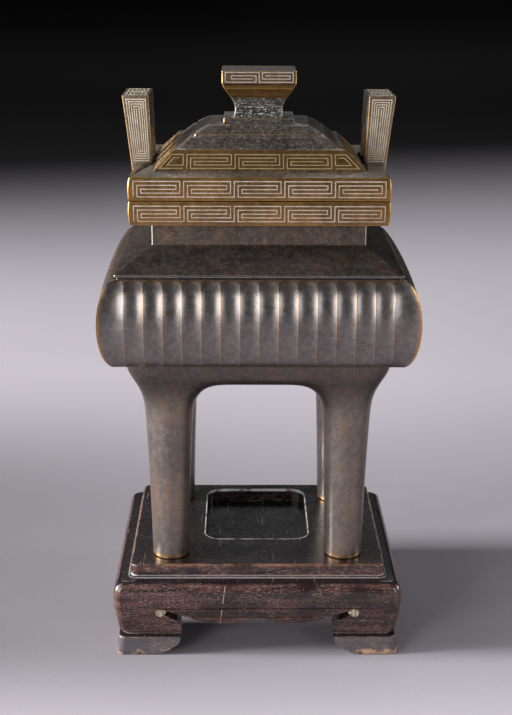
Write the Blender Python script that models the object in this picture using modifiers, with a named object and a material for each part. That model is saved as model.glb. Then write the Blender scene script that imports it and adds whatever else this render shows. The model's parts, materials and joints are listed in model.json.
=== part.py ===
"""Rectangular bronze censer with its cover, standing on a carved wood stand.

Three loose pieces: the cast vessel with its four legs and two handles, the cast cover with
its knob, and the wood stand. Metres, +Z up. The front faces -Y, and the origin is on the
ground under the middle of the stand.
"""
import math

import bmesh
import bpy

# Clearance between pieces that only rest on each other
REST_GAP = 0.0003
# How far a joined form or a cutter runs past the face that it meets
OVERLAP = 0.0020

# Stand, overall
STAND_HALF_X = 0.0453
STAND_HALF_Y = 0.0370
STAND_HEIGHT = 0.0292
STAND_CORNER = 0.0025
STAND_BEAD = 0.0006
# Stand, raised panel, the ledge round it and the rounded shoulder below that
PANEL_MARGIN = 0.0052
PANEL_RISE = 0.0043
PANEL_EDGE = 0.0004
LEDGE_WIDTH = 0.0021
SHOULDER_DROP = 0.0042
SHOULDER_CURVE = ((0.0004, 0.48), (0.0012, 0.85))
# Stand, feet and apron
PAD_HEIGHT = 0.0058
PAD_EDGE = 0.0003
PAD_TAPER = 0.0011
WAIST_DEPTH = 0.0020
WAIST_HEIGHT = 0.0014
FOOT_TAPER = 0.0015
APRON_ROUND = 0.0005
APRON_ROUND_SHARE = 0.45
APRON_THICKNESS = 0.0070
POCKET_HEIGHT = 0.0155
POCKET_CORNER = 0.0010
FOOT_WIDTH = 0.0214
APRON_CLEAR = 0.0109
CUSP_RISE = 0.0022
CUSP_SHARE = 0.4
TIP_RISE = 0.0029
# Stand, the scroll at the inner side of each foot: its eye, and the points (across from the
# foot's inner line, below the eye) and (across, share of the pad's height) of its curve
SCROLL_EYE_RADIUS = 0.0017
SCROLL_EYE_INSET = 0.0069
SCROLL_EYE_RISE = 0.0008
SCROLL_EYE_START = 110.0
SCROLL_EYE_TURN = 54.0
SCROLL_CURVE = ((0.0036, 0.0017), (0.0016, 0.0026), (0.0005, 0.0038), (0.0, 0.0060))
PAD_CURVE = ((0.0002, 1.07), (0.0010, 0.62), (0.0040, 0.28), (0.0076, 0.0))
# Stand, sunk well in the panel
WELL_HALF_X = 0.0170
WELL_FRONT_Y = -0.0130
WELL_BACK_Y = 0.0275
WELL_DEPTH = 0.0047
WELL_CORNER = 0.0050

# Vessel, legs
LEG_X = 0.0275
LEG_Y = 0.0221
LEG_FOOT_RADIUS = 0.0059
LEG_TOP_RADIUS = 0.0079
LEG_SWELL = 1.6
LEG_LENGTH = 0.0583
# Vessel, plain band between the legs and the fluted drum
BAND_HEIGHT = 0.0085
BAND_INSET = 0.0010
BAND_ROUND = 0.0038
BAND_ROUND_MIDDLE = 0.0008
BAND_ROUND_SHARE = 0.55
BAND_SEAT = 0.0012
# Vessel, cage lines of the belly: where a leg's root starts on its outer and inner side, and
# the line between it and the middle
ROOT_OUT = 0.0009
ROOT_IN_X = 0.0126
ROOT_IN_Y = 0.0112
BELLY_LINE_X = 0.0080
BELLY_LINE_Y = 0.0053
# Vessel, fluted drum
DRUM_HALF_X = 0.0420
DRUM_HALF_Y = 0.0362
DRUM_HEIGHT = 0.0266
DRUM_BULGE = 0.0052
DRUM_ROUNDNESS = 2.0
DRUM_SIDE_FULLNESS = 1.2
FLUTE_PITCH = 0.0056
FLUTE_DEPTH = 0.0006
FLUTE_ARCH = 0.0015
NARROWEST_FLUTE = 0.4
# Vessel, groove, shoulder, neck and rim
GROOVE_DEPTH = 0.0005
GROOVE_HEIGHT = 0.0006
LIP_OVERHANG = 0.0002
LIP_HEIGHT = 0.0006
SHOULDER_RISE = 0.0067
NECK_HALF_X = 0.0317
NECK_HALF_Y = 0.0258
NECK_HEIGHT = 0.0070
RIM_HALF_X = 0.0380
RIM_HALF_Y = 0.0320
RIM_HEIGHT = 0.0070
RIM_CROWN = 0.0005
RIM_CROWN_SHARE = 0.55
EDGE_ROUND = 0.0004
# Vessel, hollow: walls, floor, and how far the hollow's lower corner is drawn in
WALL = 0.0030
FLOOR = 0.0040
FLOOR_DRAW = 0.0048
FLOOR_ROUND = 0.0024
HOLLOW_STRAIGHT = 0.15
HOLLOW_CORNER = 0.0050
# Vessel, handles
HANDLE_HEIGHT = 0.0277
HANDLE_HALF_WIDTH = 0.0095
HANDLE_FOOT = 0.0059
HANDLE_TOP = 0.0080
HANDLE_FLARE = 1.15
HANDLE_LEAN = 0.0010
HANDLE_SETBACK = 0.0002
HANDLE_HOLE_HALF = 0.0046
HANDLE_HOLE_HEIGHT = 0.0167

# Cover, flange
FLANGE_HEIGHT = 0.0067
FLANGE_EDGE = 0.0002
NOTCH_CLEARANCE = 0.0006
COVER_WALL = 0.0026
COVER_HOLLOW_CORNER = 0.0020
# Cover, dome: a sloping tier, two steps and a cap, each in from the one below
DOME_HALF_X = 0.0310
DOME_HALF_Y = 0.0249
LEDGE_RISE = 0.0006
SLOPE_RISE = 0.0056
SLOPE_RUN = 0.0058
STEP_WIDTH = 0.0015
STEP_RISE = 0.0002
MIDDLE_RISE = 0.0028
MIDDLE_RUN = 0.0034
CROWN_STEP = 0.0012
CROWN_EDGE = 0.0007
CROWN_RISE = 0.0021
CROWN_RUN = 0.0040
CAP_MARGIN = 0.0035
CAP_FALL = 0.0004
CAP_RISE = 0.0012
# Cover, knob: its stem flares by these shares (of its height, of its width) to the band
KNOB_HALF_X = 0.0112
KNOB_HALF_Y = 0.0088
KNOB_NECK_HALF_X = 0.0072
KNOB_NECK_HALF_Y = 0.0057
KNOB_HEIGHT = 0.0140
KNOB_BAND = 0.0037
KNOB_FLARE = ((0.0, 0.16), (0.12, 0.03), (0.30, 0.0), (0.48, 0.16), (0.66, 0.46), (0.84, 0.80),
              (1.0, 1.0))

# How finely curves are divided
FLUTE_STEPS = 3
DRUM_STEPS = 8
CORNER_STEPS = 2
WELL_STEPS = 3
APRON_STEPS = 8
EYE_STEPS = 6

# Legs, cage: heights of its rings as shares of the leg, and how much the subdivided surface
# shrinks from an eight-sided ring
LEG_RINGS = (0.89, 0.74, 0.5, 0.22, 0.03, 0.0)
LEG_SIDES = 8
CAGE_SHRINK = 0.902
CAGE_LINES = 8
FLAT_END_ANGLE = math.radians(45.0)

# Levels that follow from the sizes above
LEDGE_Z = STAND_HEIGHT - PANEL_RISE
LEG_FOOT_Z = STAND_HEIGHT + REST_GAP
BELLY_Z = LEG_FOOT_Z + LEG_LENGTH
DRUM_FOOT_Z = BELLY_Z + BAND_HEIGHT
DRUM_TOP_Z = DRUM_FOOT_Z + DRUM_HEIGHT
LIP_Z = DRUM_TOP_Z + GROOVE_HEIGHT
SHOULDER_Z = LIP_Z + LIP_HEIGHT
NECK_Z = SHOULDER_Z + SHOULDER_RISE
RIM_Z = NECK_Z + NECK_HEIGHT
RIM_TOP_Z = RIM_Z + RIM_HEIGHT
COVER_Z = RIM_TOP_Z + REST_GAP
FLANGE_TOP_Z = COVER_Z + FLANGE_HEIGHT
DOME_Z = FLANGE_TOP_Z + LEDGE_RISE
MOUTH_HALF_X = NECK_HALF_X - WALL
MOUTH_HALF_Y = NECK_HALF_Y - WALL


def clear_scene():
    """Remove every object of the open scene."""
    for item in list(bpy.data.objects):
        bpy.data.objects.remove(item, do_unlink=True)


def make_collection(name):
    """A new collection in the scene."""
    collection = bpy.data.collections.new(name)
    bpy.context.scene.collection.children.link(collection)
    return collection


def make_material(name, colour, roughness, metallic):
    """A Principled material of one colour."""
    material = bpy.data.materials.new(name)
    material.use_nodes = True
    shader = material.node_tree.nodes["Principled BSDF"]
    shader.inputs["Base Color"].default_value = (*colour, 1.0)
    shader.inputs["Roughness"].default_value = roughness
    shader.inputs["Metallic"].default_value = metallic
    return material


def add_object(name, mesh, collection, material=None):
    """An object for a mesh, in its collection."""
    item = bpy.data.objects.new(name, mesh)
    collection.objects.link(item)
    if material:
        mesh.materials.append(material)
    return item


def finish_mesh(name, bm):
    """Close a bmesh into a mesh whose faces point outwards."""
    bmesh.ops.recalc_face_normals(bm, faces=bm.faces)
    mesh = bpy.data.meshes.new(name)
    bm.to_mesh(mesh)
    bm.free()
    return mesh


def rounded_rectangle(half_x, half_y, radius, steps, centre=(0.0, 0.0)):
    """Points of a rectangle with round corners, anticlockwise from the +X +Y corner."""
    points = []
    for corner, (side_x, side_y) in enumerate(((1, 1), (-1, 1), (-1, -1), (1, -1))):
        for step in range(steps + 1):
            angle = math.radians(90.0 * (corner + step / max(steps, 1)))
            x = side_x * (half_x - radius) + radius * math.cos(angle)
            y = side_y * (half_y - radius) + radius * math.sin(angle)
            points.append((centre[0] + x, centre[1] + y))
    return points


def loft(name, rings):
    """A closed body through rings of equally many points, with flat ends."""
    bm = bmesh.new()
    rows = [[bm.verts.new(point) for point in ring] for ring in rings]
    count = len(rings[0])
    for lower, upper in zip(rows, rows[1:]):
        for index in range(count):
            after = (index + 1) % count
            bm.faces.new((lower[index], lower[after], upper[after], upper[index]))
    bm.faces.new(rows[0])
    bm.faces.new(rows[-1])
    return finish_mesh(name, bm)


def stack(name, levels, radius, steps):
    """A closed body from (half_x, half_y, z) levels of one rounded rectangle."""
    rings = []
    for half_x, half_y, z in levels:
        outline = rounded_rectangle(half_x, half_y, radius, steps)
        rings.append([(x, y, z) for x, y in outline])
    return loft(name, rings)


def prism(name, outline, axis, low, high):
    """A closed body from a flat outline, drawn out along X, Y or Z."""
    def place(first, second, along):
        if axis == "X":
            return (along, first, second)
        if axis == "Y":
            return (first, along, second)
        return (first, second, along)

    rings = [[place(a, b, along) for a, b in outline] for along in (low, high)]
    return loft(name, rings)


def boolean(target, tool, operation):
    """Join or cut the target with another object, exactly."""
    modifier = target.modifiers.new(f"{operation.lower()} {tool.name}", "BOOLEAN")
    modifier.operation = operation
    modifier.solver = "EXACT"
    modifier.object = tool


def make_tool(name, mesh, collection):
    """A cutter or a joined form: drawn as wire and never rendered."""
    tool = add_object(name, mesh, collection)
    tool.hide_render = True
    tool.display_type = "WIRE"
    return tool


def smooth(item, angle):
    """Shade the object's mesh smooth, with edges sharper than the angle kept."""
    item.data.shade_smooth()
    item.data.set_sharp_from_angle(angle=math.radians(angle))


def stand_profile():
    """The stand's side as (inset from its widest line, height), from the ground up."""
    waist_top = PAD_HEIGHT + WAIST_HEIGHT
    foot_top = waist_top + STAND_BEAD
    shoulder = LEDGE_Z - SHOULDER_DROP
    belly = foot_top + APRON_ROUND_SHARE * (shoulder - foot_top)
    ledge_inner = PANEL_MARGIN - STAND_BEAD
    ledge_outer = ledge_inner - LEDGE_WIDTH
    profile = [
        (PAD_EDGE, 0.0),
        (PAD_TAPER, PAD_HEIGHT),
        (WAIST_DEPTH + STAND_BEAD, PAD_HEIGHT + STAND_BEAD),
        (WAIST_DEPTH + STAND_BEAD, waist_top),
        (FOOT_TAPER, foot_top),
        (APRON_ROUND, belly),
        (0.0, 0.5 * (belly + shoulder)),
        (0.0, shoulder),
    ]
    profile += [(inset, shoulder + share * SHOULDER_DROP) for inset, share in SHOULDER_CURVE]
    return profile + [
        (ledge_outer, LEDGE_Z),
        (ledge_inner, LEDGE_Z),
        (PANEL_MARGIN, LEDGE_Z + STAND_BEAD),
        (PANEL_MARGIN, STAND_HEIGHT - PANEL_EDGE),
        (PANEL_MARGIN + PANEL_EDGE, STAND_HEIGHT),
    ]


def apron_outline(half_width):
    """The opening between two scroll feet, from below the ground up to the cusped apron."""
    inner = half_width - FOOT_WIDTH
    eye_x = inner + SCROLL_EYE_INSET
    eye_z = APRON_CLEAR + TIP_RISE + SCROLL_EYE_RISE
    half = [(0.0, APRON_CLEAR + CUSP_RISE)]
    for step in range(1, APRON_STEPS + 1):
        share = step / APRON_STEPS
        if share <= CUSP_SHARE:
            rise = CUSP_RISE * (1.0 - share / CUSP_SHARE) ** 2
        else:
            rise = TIP_RISE * ((share - CUSP_SHARE) / (1.0 - CUSP_SHARE)) ** 2
        half.append((share * inner, APRON_CLEAR + rise))
    for step in range(EYE_STEPS):
        angle = math.radians(SCROLL_EYE_START - SCROLL_EYE_TURN * step)
        half.append((eye_x + SCROLL_EYE_RADIUS * math.cos(angle),
                     eye_z + SCROLL_EYE_RADIUS * math.sin(angle)))
    half += [(inner + across, eye_z - below) for across, below in SCROLL_CURVE]
    half += [(inner + across, share * PAD_HEIGHT) for across, share in PAD_CURVE]
    half.append((inner + PAD_CURVE[-1][0], -OVERLAP))
    mirrored = [(-x, z) for x, z in reversed(half[1:])]
    return half + mirrored


def build_stand(parts, tools, material):
    """The wood stand: panel, ledge, bulging apron, four scroll feet and a sunk well."""
    levels = []
    for inset, z in stand_profile():
        levels.append((STAND_HALF_X - inset, STAND_HALF_Y - inset, z))
    mesh = stack("stand", levels, STAND_CORNER, CORNER_STEPS)
    stand = add_object("stand", mesh, parts, material)

    reach = STAND_HALF_X + STAND_HALF_Y
    across = prism("apron_front_back", apron_outline(STAND_HALF_X), "Y", -reach, reach)
    along = prism("apron_sides", apron_outline(STAND_HALF_Y), "X", -reach, reach)
    pocket_outline = rounded_rectangle(
        STAND_HALF_X - APRON_THICKNESS, STAND_HALF_Y - APRON_THICKNESS, POCKET_CORNER, 0)
    pocket = prism("stand_pocket", pocket_outline, "Z", -OVERLAP, POCKET_HEIGHT)
    well_centre = (0.0, 0.5 * (WELL_FRONT_Y + WELL_BACK_Y))
    well_half_y = 0.5 * (WELL_BACK_Y - WELL_FRONT_Y)
    well_outline = rounded_rectangle(
        WELL_HALF_X, well_half_y, WELL_CORNER, WELL_STEPS, well_centre)
    well_floor = STAND_HEIGHT - WELL_DEPTH
    well = prism("stand_well", well_outline, "Z", well_floor, STAND_HEIGHT + OVERLAP)
    for name, cutter in (("apron_front_back", across), ("apron_sides", along),
                         ("stand_pocket", pocket), ("stand_well", well)):
        boolean(stand, make_tool(name, cutter, tools), "DIFFERENCE")
    smooth(stand, 35.0)
    return stand


def drum_profile(share, fullness=0.0):
    """The drum's bulge and height at a share of its height from -1 to 1."""
    roundness = DRUM_ROUNDNESS + fullness
    bulge = DRUM_BULGE * (1.0 - abs(share) ** roundness) ** (1.0 / roundness)
    return bulge, DRUM_FOOT_Z + 0.5 * DRUM_HEIGHT * (1.0 + share)


def flute_depth(across, share, width):
    """How deep a flute is, across it from -1 to 1 and at a share of the drum's height."""
    from_top = 0.5 * DRUM_HEIGHT * (1.0 - share)
    arch = FLUTE_ARCH * (1.0 - math.sqrt(max(0.0, 1.0 - across * across)))
    fade_top = min(1.0, max(0.0, (from_top - arch) / FLUTE_ARCH))
    fade_foot = min(1.0, 0.5 * DRUM_HEIGHT * (1.0 + share) / FLUTE_ARCH)
    breadth = min(1.0, width / FLUTE_PITCH)
    return FLUTE_DEPTH * (1.0 - across * across) * fade_top * fade_foot * breadth


def flute_edges(half, bulge):
    """The arrises along one side of the drum, from mitre to mitre."""
    inside = int((half - NARROWEST_FLUTE * FLUTE_PITCH) / FLUTE_PITCH)
    edges = [FLUTE_PITCH * index for index in range(-inside, inside + 1)]
    return [-half - bulge] + edges + [half + bulge]


def drum_side(half_along, half_out, share, fullness):
    """Points (along, out, z) of one side at one height. Fullness swells the side's middle."""
    bulge, z = drum_profile(share)
    edges = flute_edges(half_along, bulge)
    points = []
    for start, end in zip(edges, edges[1:]):
        for step in range(FLUTE_STEPS):
            part = step / FLUTE_STEPS
            depth = flute_depth(2.0 * part - 1.0, share, end - start)
            run = start + part * (end - start)
            middle = 1.0 - (run / (half_along + bulge)) ** 2
            swell = drum_profile(share, fullness * middle)[0]
            points.append((run, half_out + swell - depth, z))
    return points


def drum_ring(share):
    """One ring of the fluted drum, anticlockwise from its front left mitre."""
    ring = []
    for turn, (along, out) in enumerate((
            (DRUM_HALF_X, DRUM_HALF_Y), (DRUM_HALF_Y, DRUM_HALF_X),
            (DRUM_HALF_X, DRUM_HALF_Y), (DRUM_HALF_Y, DRUM_HALF_X))):
        angle = 0.5 * math.pi * turn
        cos, sin = round(math.cos(angle)), round(math.sin(angle))
        fullness = DRUM_SIDE_FULLNESS * (turn % 2)
        for run, outward, z in drum_side(along, out, share, fullness):
            ring.append((cos * run + sin * outward, sin * run - cos * outward, z))
    return ring


def drum_mesh():
    """The pillow-shaped drum with a row of upright flutes on every side."""
    rings = []
    for step in range(DRUM_STEPS + 1):
        rings.append(drum_ring(-math.cos(math.pi * step / DRUM_STEPS)))
    return loft("drum", rings)


def band_levels(height):
    """A crowned band as (crown taken off, height): foot, widest line and top."""
    return ((RIM_CROWN, 0.0), (0.0, RIM_CROWN_SHARE * height), (0.4 * RIM_CROWN, height))


def upper_mesh():
    """Groove, lip, sloping shoulder, neck and rim above the drum."""
    inside = (DRUM_HALF_X - GROOVE_DEPTH, DRUM_HALF_Y - GROOVE_DEPTH)
    lip = (DRUM_HALF_X + LIP_OVERHANG, DRUM_HALF_Y + LIP_OVERHANG)
    levels = [
        (*inside, DRUM_TOP_Z - OVERLAP),
        (*inside, LIP_Z),
        (*lip, LIP_Z),
        (*lip, SHOULDER_Z),
        (NECK_HALF_X, NECK_HALF_Y, NECK_Z),
        (NECK_HALF_X, NECK_HALF_Y, RIM_Z),
    ]
    for off, height in band_levels(RIM_HEIGHT):
        levels.append((RIM_HALF_X - off, RIM_HALF_Y - off, RIM_Z + height))
    return stack("shoulder_and_rim", levels, EDGE_ROUND, 1)


def leg_radius(share):
    """A leg's radius at a share of its length from the foot."""
    return LEG_FOOT_RADIUS + (LEG_TOP_RADIUS - LEG_FOOT_RADIUS) * share ** LEG_SWELL


def belly_lines(*half):
    """Cage lines of the belly along one axis, from one side to the other."""
    return [-value for value in half] + list(reversed(half))


def belly_grids(bm):
    """The belly's cage points in three levels, as {(column, row): point}."""
    top_x, top_y = DRUM_HALF_X - BAND_INSET, DRUM_HALF_Y - BAND_INSET
    last = CAGE_LINES - 1
    grids = []
    for z, drawn_in in ((BELLY_Z, BAND_ROUND),
                        (BELLY_Z + BAND_ROUND_SHARE * BAND_HEIGHT, BAND_ROUND_MIDDLE),
                        (DRUM_FOOT_Z + BAND_SEAT, 0.0)):
        xs = belly_lines(top_x - drawn_in, LEG_X - ROOT_OUT, LEG_X - ROOT_IN_X, BELLY_LINE_X)
        ys = belly_lines(top_y - drawn_in, LEG_Y - ROOT_OUT, LEG_Y - ROOT_IN_Y, BELLY_LINE_Y)
        grid = {}
        for column, x in enumerate(xs):
            for row, y in enumerate(ys):
                if z == BELLY_Z or column in (0, last) or row in (0, last):
                    grid[column, row] = bm.verts.new((x, y, z))
        grids.append(grid)
    return grids


def legs_cage():
    """A coarse cage of the belly between the legs and of the four legs, for subdivision."""
    bm = bmesh.new()
    grids = belly_grids(bm)
    last = CAGE_LINES - 1
    outline = [(c, 0) for c in range(last)] + [(last, r) for r in range(last)]
    outline += [(c, last) for c in range(last, 0, -1)] + [(0, r) for r in range(last, 0, -1)]
    for lower, upper in zip(grids, grids[1:]):
        for here, there in zip(outline, outline[1:] + outline[:1]):
            bm.faces.new((lower[here], lower[there], upper[there], upper[here]))
    bm.faces.new([grids[-1][key] for key in outline])
    belly = grids[0]
    leg_lines = (0, 1, last - 2, last - 1)
    for column in range(last):
        for row in range(last):
            if column in leg_lines and row in leg_lines:
                continue
            corners = ((0, 0), (1, 0), (1, 1), (0, 1))
            bm.faces.new([belly[column + dc, row + dr] for dc, dr in corners])
    around = ((2, 2), (1, 2), (0, 2), (0, 1), (0, 0), (1, 0), (2, 0), (2, 1))
    for column, side_x in ((0, -1), (last - 2, 1)):
        for row, side_y in ((0, -1), (last - 2, 1)):
            ring = [belly[column + dc, row + dr] for dc, dr in around]
            add_leg(bm, ring, side_x * LEG_X, side_y * LEG_Y)
            bm.verts.remove(belly[column + 1, row + 1])
    return bm


def add_leg(bm, ring, centre_x, centre_y):
    """Draw one leg down from its ring in the belly to a flat round foot."""
    for share in LEG_RINGS:
        z = LEG_FOOT_Z + share * LEG_LENGTH
        radius = leg_radius(share) / CAGE_SHRINK
        lower = []
        for index in range(LEG_SIDES):
            angle = 2.0 * math.pi * (index + 1) / LEG_SIDES
            x = centre_x + radius * math.cos(angle)
            y = centre_y + radius * math.sin(angle)
            lower.append(bm.verts.new((x, y, z)))
        for index in range(LEG_SIDES):
            after = (index + 1) % LEG_SIDES
            bm.faces.new((ring[index], ring[after], lower[after], lower[index]))
        ring = lower
    middle = bm.verts.new((centre_x, centre_y, LEG_FOOT_Z))
    for index in range(0, LEG_SIDES, 2):
        bm.faces.new((ring[index], ring[index + 1], ring[(index + 2) % LEG_SIDES], middle))


def legs_mesh():
    """The cage of the belly and legs, with the edges of its flat ends creased."""
    bm = legs_cage()
    bmesh.ops.recalc_face_normals(bm, faces=bm.faces)
    crease = bm.edges.layers.float.new("crease_edge")
    for edge in bm.edges:
        heights = [vert.co.z for vert in edge.verts]
        for flat_end in (DRUM_FOOT_Z + BAND_SEAT, LEG_FOOT_Z):
            at_end = all(abs(z - flat_end) < 0.5 * REST_GAP for z in heights)
            if at_end and edge.calc_face_angle() > FLAT_END_ANGLE:
                edge[crease] = 1.0
    return finish_mesh("belly_and_legs", bm)


def cavity_mesh():
    """The hollow of the vessel, from its floor up through the mouth."""
    bulge, drum_z = drum_profile(0.0)
    wide_x = DRUM_HALF_X + bulge - WALL - FLUTE_DEPTH
    wide_y = DRUM_HALF_Y + bulge - WALL - FLUTE_DEPTH
    low_x, low_y = DRUM_HALF_X - WALL, DRUM_HALF_Y - WALL
    floor_z = BELLY_Z + FLOOR
    levels = [
        (low_x - FLOOR_DRAW, low_y - FLOOR_DRAW, floor_z),
        (low_x - FLOOR_ROUND, low_y - FLOOR_ROUND, floor_z + FLOOR_ROUND),
        (low_x, low_y, DRUM_FOOT_Z + WALL),
        (wide_x, wide_y, drum_z - HOLLOW_STRAIGHT * DRUM_HEIGHT),
        (wide_x, wide_y, drum_z + HOLLOW_STRAIGHT * DRUM_HEIGHT),
        (low_x, low_y, DRUM_TOP_Z - 0.4 * WALL),
        (MOUTH_HALF_X, MOUTH_HALF_Y, NECK_Z - 0.7 * WALL),
        (MOUTH_HALF_X, MOUTH_HALF_Y, RIM_TOP_Z + OVERLAP),
    ]
    return stack("cavity", levels, HOLLOW_CORNER, CORNER_STEPS)


def handle_faces(share):
    """A handle's inner and outer faces in X, at a share of its height."""
    inner = RIM_HALF_X - HANDLE_SETBACK - HANDLE_FOOT + HANDLE_LEAN * share
    thickness = HANDLE_FOOT + (HANDLE_TOP - HANDLE_FOOT) * share ** HANDLE_FLARE
    return inner, inner + thickness


def handle_mesh(side):
    """An upright handle: a slab with an opening through it, leaning outwards."""
    ys = (-HANDLE_HALF_WIDTH, -HANDLE_HOLE_HALF, HANDLE_HOLE_HALF, HANDLE_HALF_WIDTH)
    heights = (-OVERLAP, 0.45 * HANDLE_HOLE_HEIGHT, HANDLE_HOLE_HEIGHT,
               0.5 * (HANDLE_HOLE_HEIGHT + HANDLE_HEIGHT), HANDLE_HEIGHT)
    bm = bmesh.new()
    layers = []
    for face in (0, 1):
        layer = {}
        for row, height in enumerate(heights):
            x = side * handle_faces(max(0.0, height / HANDLE_HEIGHT))[face]
            for column, y in enumerate(ys):
                layer[column, row] = bm.verts.new((x, y, RIM_TOP_Z + height))
        layers.append(layer)
    cells = [(c, r) for c in range(3) for r in range(4) if not (c == 1 and r < 2)]
    open_edges = set()
    for column, row in cells:
        corners = [(column, row), (column + 1, row), (column + 1, row + 1), (column, row + 1)]
        for layer in layers:
            bm.faces.new([layer[key] for key in corners])
        for start, end in zip(corners, corners[1:] + corners[:1]):
            if (end, start) in open_edges:
                open_edges.remove((end, start))
            else:
                open_edges.add((start, end))
    for start, end in sorted(open_edges):
        bm.faces.new((layers[0][start], layers[0][end], layers[1][end], layers[1][start]))
    loose = [vert for vert in bm.verts if not vert.link_faces]
    bmesh.ops.delete(bm, geom=loose, context="VERTS")
    return finish_mesh("handle", bm)


def build_vessel(parts, tools, material):
    """The vessel, cast in one: drum, legs, shoulder, rim and handles, hollow inside."""
    vessel = add_object("vessel", drum_mesh(), parts, material)
    legs = make_tool("belly_and_legs", legs_mesh(), tools)
    subdivision = legs.modifiers.new("rounding", "SUBSURF")
    subdivision.levels = 1
    subdivision.render_levels = 1
    boolean(vessel, legs, "UNION")
    boolean(vessel, make_tool("shoulder_and_rim", upper_mesh(), tools), "UNION")
    for name, side in (("handle_left", -1), ("handle_right", 1)):
        boolean(vessel, make_tool(name, handle_mesh(side), tools), "UNION")
    boolean(vessel, make_tool("cavity", cavity_mesh(), tools), "DIFFERENCE")
    smooth(vessel, 32.0)
    return vessel


def dome_levels():
    """The cover's dome as (half_x, half_y, z), from the ledge up to the foot of the knob."""
    slope_x = DOME_HALF_X - SLOPE_RUN
    middle_x = slope_x - STEP_WIDTH
    middle_top_x = middle_x - MIDDLE_RUN
    crown_x = middle_top_x - CROWN_STEP
    slope_z = DOME_Z + SLOPE_RISE
    middle_z = slope_z + STEP_RISE
    middle_top_z = middle_z + MIDDLE_RISE
    crown_z = middle_top_z + STEP_RISE
    crown_top_z = crown_z + CROWN_EDGE + CROWN_RISE
    cap_x = KNOB_NECK_HALF_X + CAP_MARGIN
    pairs = [
        (DOME_HALF_X, DOME_Z),
        (slope_x, slope_z),
        (middle_x, middle_z),
        (middle_top_x, middle_top_z),
        (crown_x, crown_z),
        (crown_x, crown_z + CROWN_EDGE),
        (crown_x - CROWN_RUN, crown_top_z),
        (cap_x, crown_top_z + CAP_FALL),
        (cap_x, crown_top_z + CAP_FALL + CAP_RISE),
    ]
    ratio = DOME_HALF_Y / DOME_HALF_X
    return [(x, ratio * x, z) for x, z in pairs]


def knob_levels(foot_z):
    """The knob as (half_x, half_y, z): waisted stem, flared underside and upright band."""
    top_z = foot_z + KNOB_HEIGHT
    stem = KNOB_HEIGHT - KNOB_BAND
    levels = []
    for rise, flare in KNOB_FLARE:
        levels.append((KNOB_NECK_HALF_X + flare * (KNOB_HALF_X - KNOB_NECK_HALF_X),
                       KNOB_NECK_HALF_Y + flare * (KNOB_HALF_Y - KNOB_NECK_HALF_Y),
                       foot_z + rise * stem))
    levels.append((KNOB_HALF_X, KNOB_HALF_Y, top_z - EDGE_ROUND))
    levels.append((KNOB_HALF_X - EDGE_ROUND, KNOB_HALF_Y - EDGE_ROUND, top_z))
    return levels


def cover_hollow():
    """The hollow under the cover, one wall inside the dome."""
    levels = [(MOUTH_HALF_X, MOUTH_HALF_Y, COVER_Z - OVERLAP),
              (MOUTH_HALF_X, MOUTH_HALF_Y, DOME_Z - 0.5 * COVER_WALL)]
    dome = dome_levels()
    ratio = DOME_HALF_Y / DOME_HALF_X
    middle, crown, crown_top, cap = dome[2], dome[4], dome[6], dome[7]
    for half_x, _, z in (middle, crown):
        inner = half_x - 0.8 * COVER_WALL
        levels.append((inner, ratio * inner, z - 0.9 * COVER_WALL))
    inner = cap[0] - 0.4 * COVER_WALL
    levels.append((inner, ratio * inner, crown_top[2] - COVER_WALL))
    return stack("cover_hollow", levels, COVER_HOLLOW_CORNER, 1)


def build_cover(parts, tools, material):
    """The cover, cast in one with its knob: flange, stepped dome and notches for the handles."""
    levels = []
    for off, height in reversed(band_levels(FLANGE_HEIGHT - FLANGE_EDGE)):
        z = FLANGE_TOP_Z - FLANGE_EDGE - height
        levels.append((RIM_HALF_X - off, RIM_HALF_Y - off, z))
    edge = RIM_CROWN + FLANGE_EDGE
    levels.append((RIM_HALF_X - edge, RIM_HALF_Y - edge, FLANGE_TOP_Z))
    dome = dome_levels()
    knob = knob_levels(dome[-1][2])
    mesh = stack("cover", levels + dome + knob, EDGE_ROUND, 1)
    cover = add_object("cover", mesh, parts, material)
    boolean(cover, make_tool("cover_hollow", cover_hollow(), tools), "DIFFERENCE")
    inner = handle_faces(0.0)[0] - NOTCH_CLEARANCE
    outer = RIM_HALF_X + HANDLE_TOP
    half_y = HANDLE_HALF_WIDTH + NOTCH_CLEARANCE
    for name, side in (("notch_left", -1), ("notch_right", 1)):
        centre = (side * 0.5 * (outer + inner), 0.0)
        outline = rounded_rectangle(0.5 * (outer - inner), half_y, EDGE_ROUND, 0, centre)
        notch = prism(name, outline, "Z", COVER_Z - OVERLAP, DOME_Z + OVERLAP)
        boolean(cover, make_tool(name, notch, tools), "DIFFERENCE")
    smooth(cover, 30.0)
    return cover


def main():
    """Build the censer, its cover and its stand."""
    clear_scene()
    parts = make_collection("bronze_censer")
    tools = make_collection("cutters_and_joined_forms")
    vessel_bronze = make_material("vessel_bronze", (0.115, 0.095, 0.080), 0.42, 0.9)
    cover_bronze = make_material("cover_bronze", (0.150, 0.115, 0.075), 0.40, 0.9)
    dark_wood = make_material("dark_wood", (0.030, 0.016, 0.014), 0.30, 0.0)
    build_stand(parts, tools, dark_wood)
    build_vessel(parts, tools, vessel_bronze)
    build_cover(parts, tools, cover_bronze)


main()
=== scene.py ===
"""Rectangular bronze censer with a cover, silver wire inlay and a carved wood stand.

The vessel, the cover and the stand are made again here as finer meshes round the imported
model, and dressed with patina, worn edges, wire inlay and polished wood. Metres, +Z up, the
front faces -Y.
"""

import json
import math
from collections import namedtuple

import bmesh
import bpy
from bpy.props import FloatProperty, FloatVectorProperty, PointerProperty
from mathutils import Matrix, Vector, noise

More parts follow.
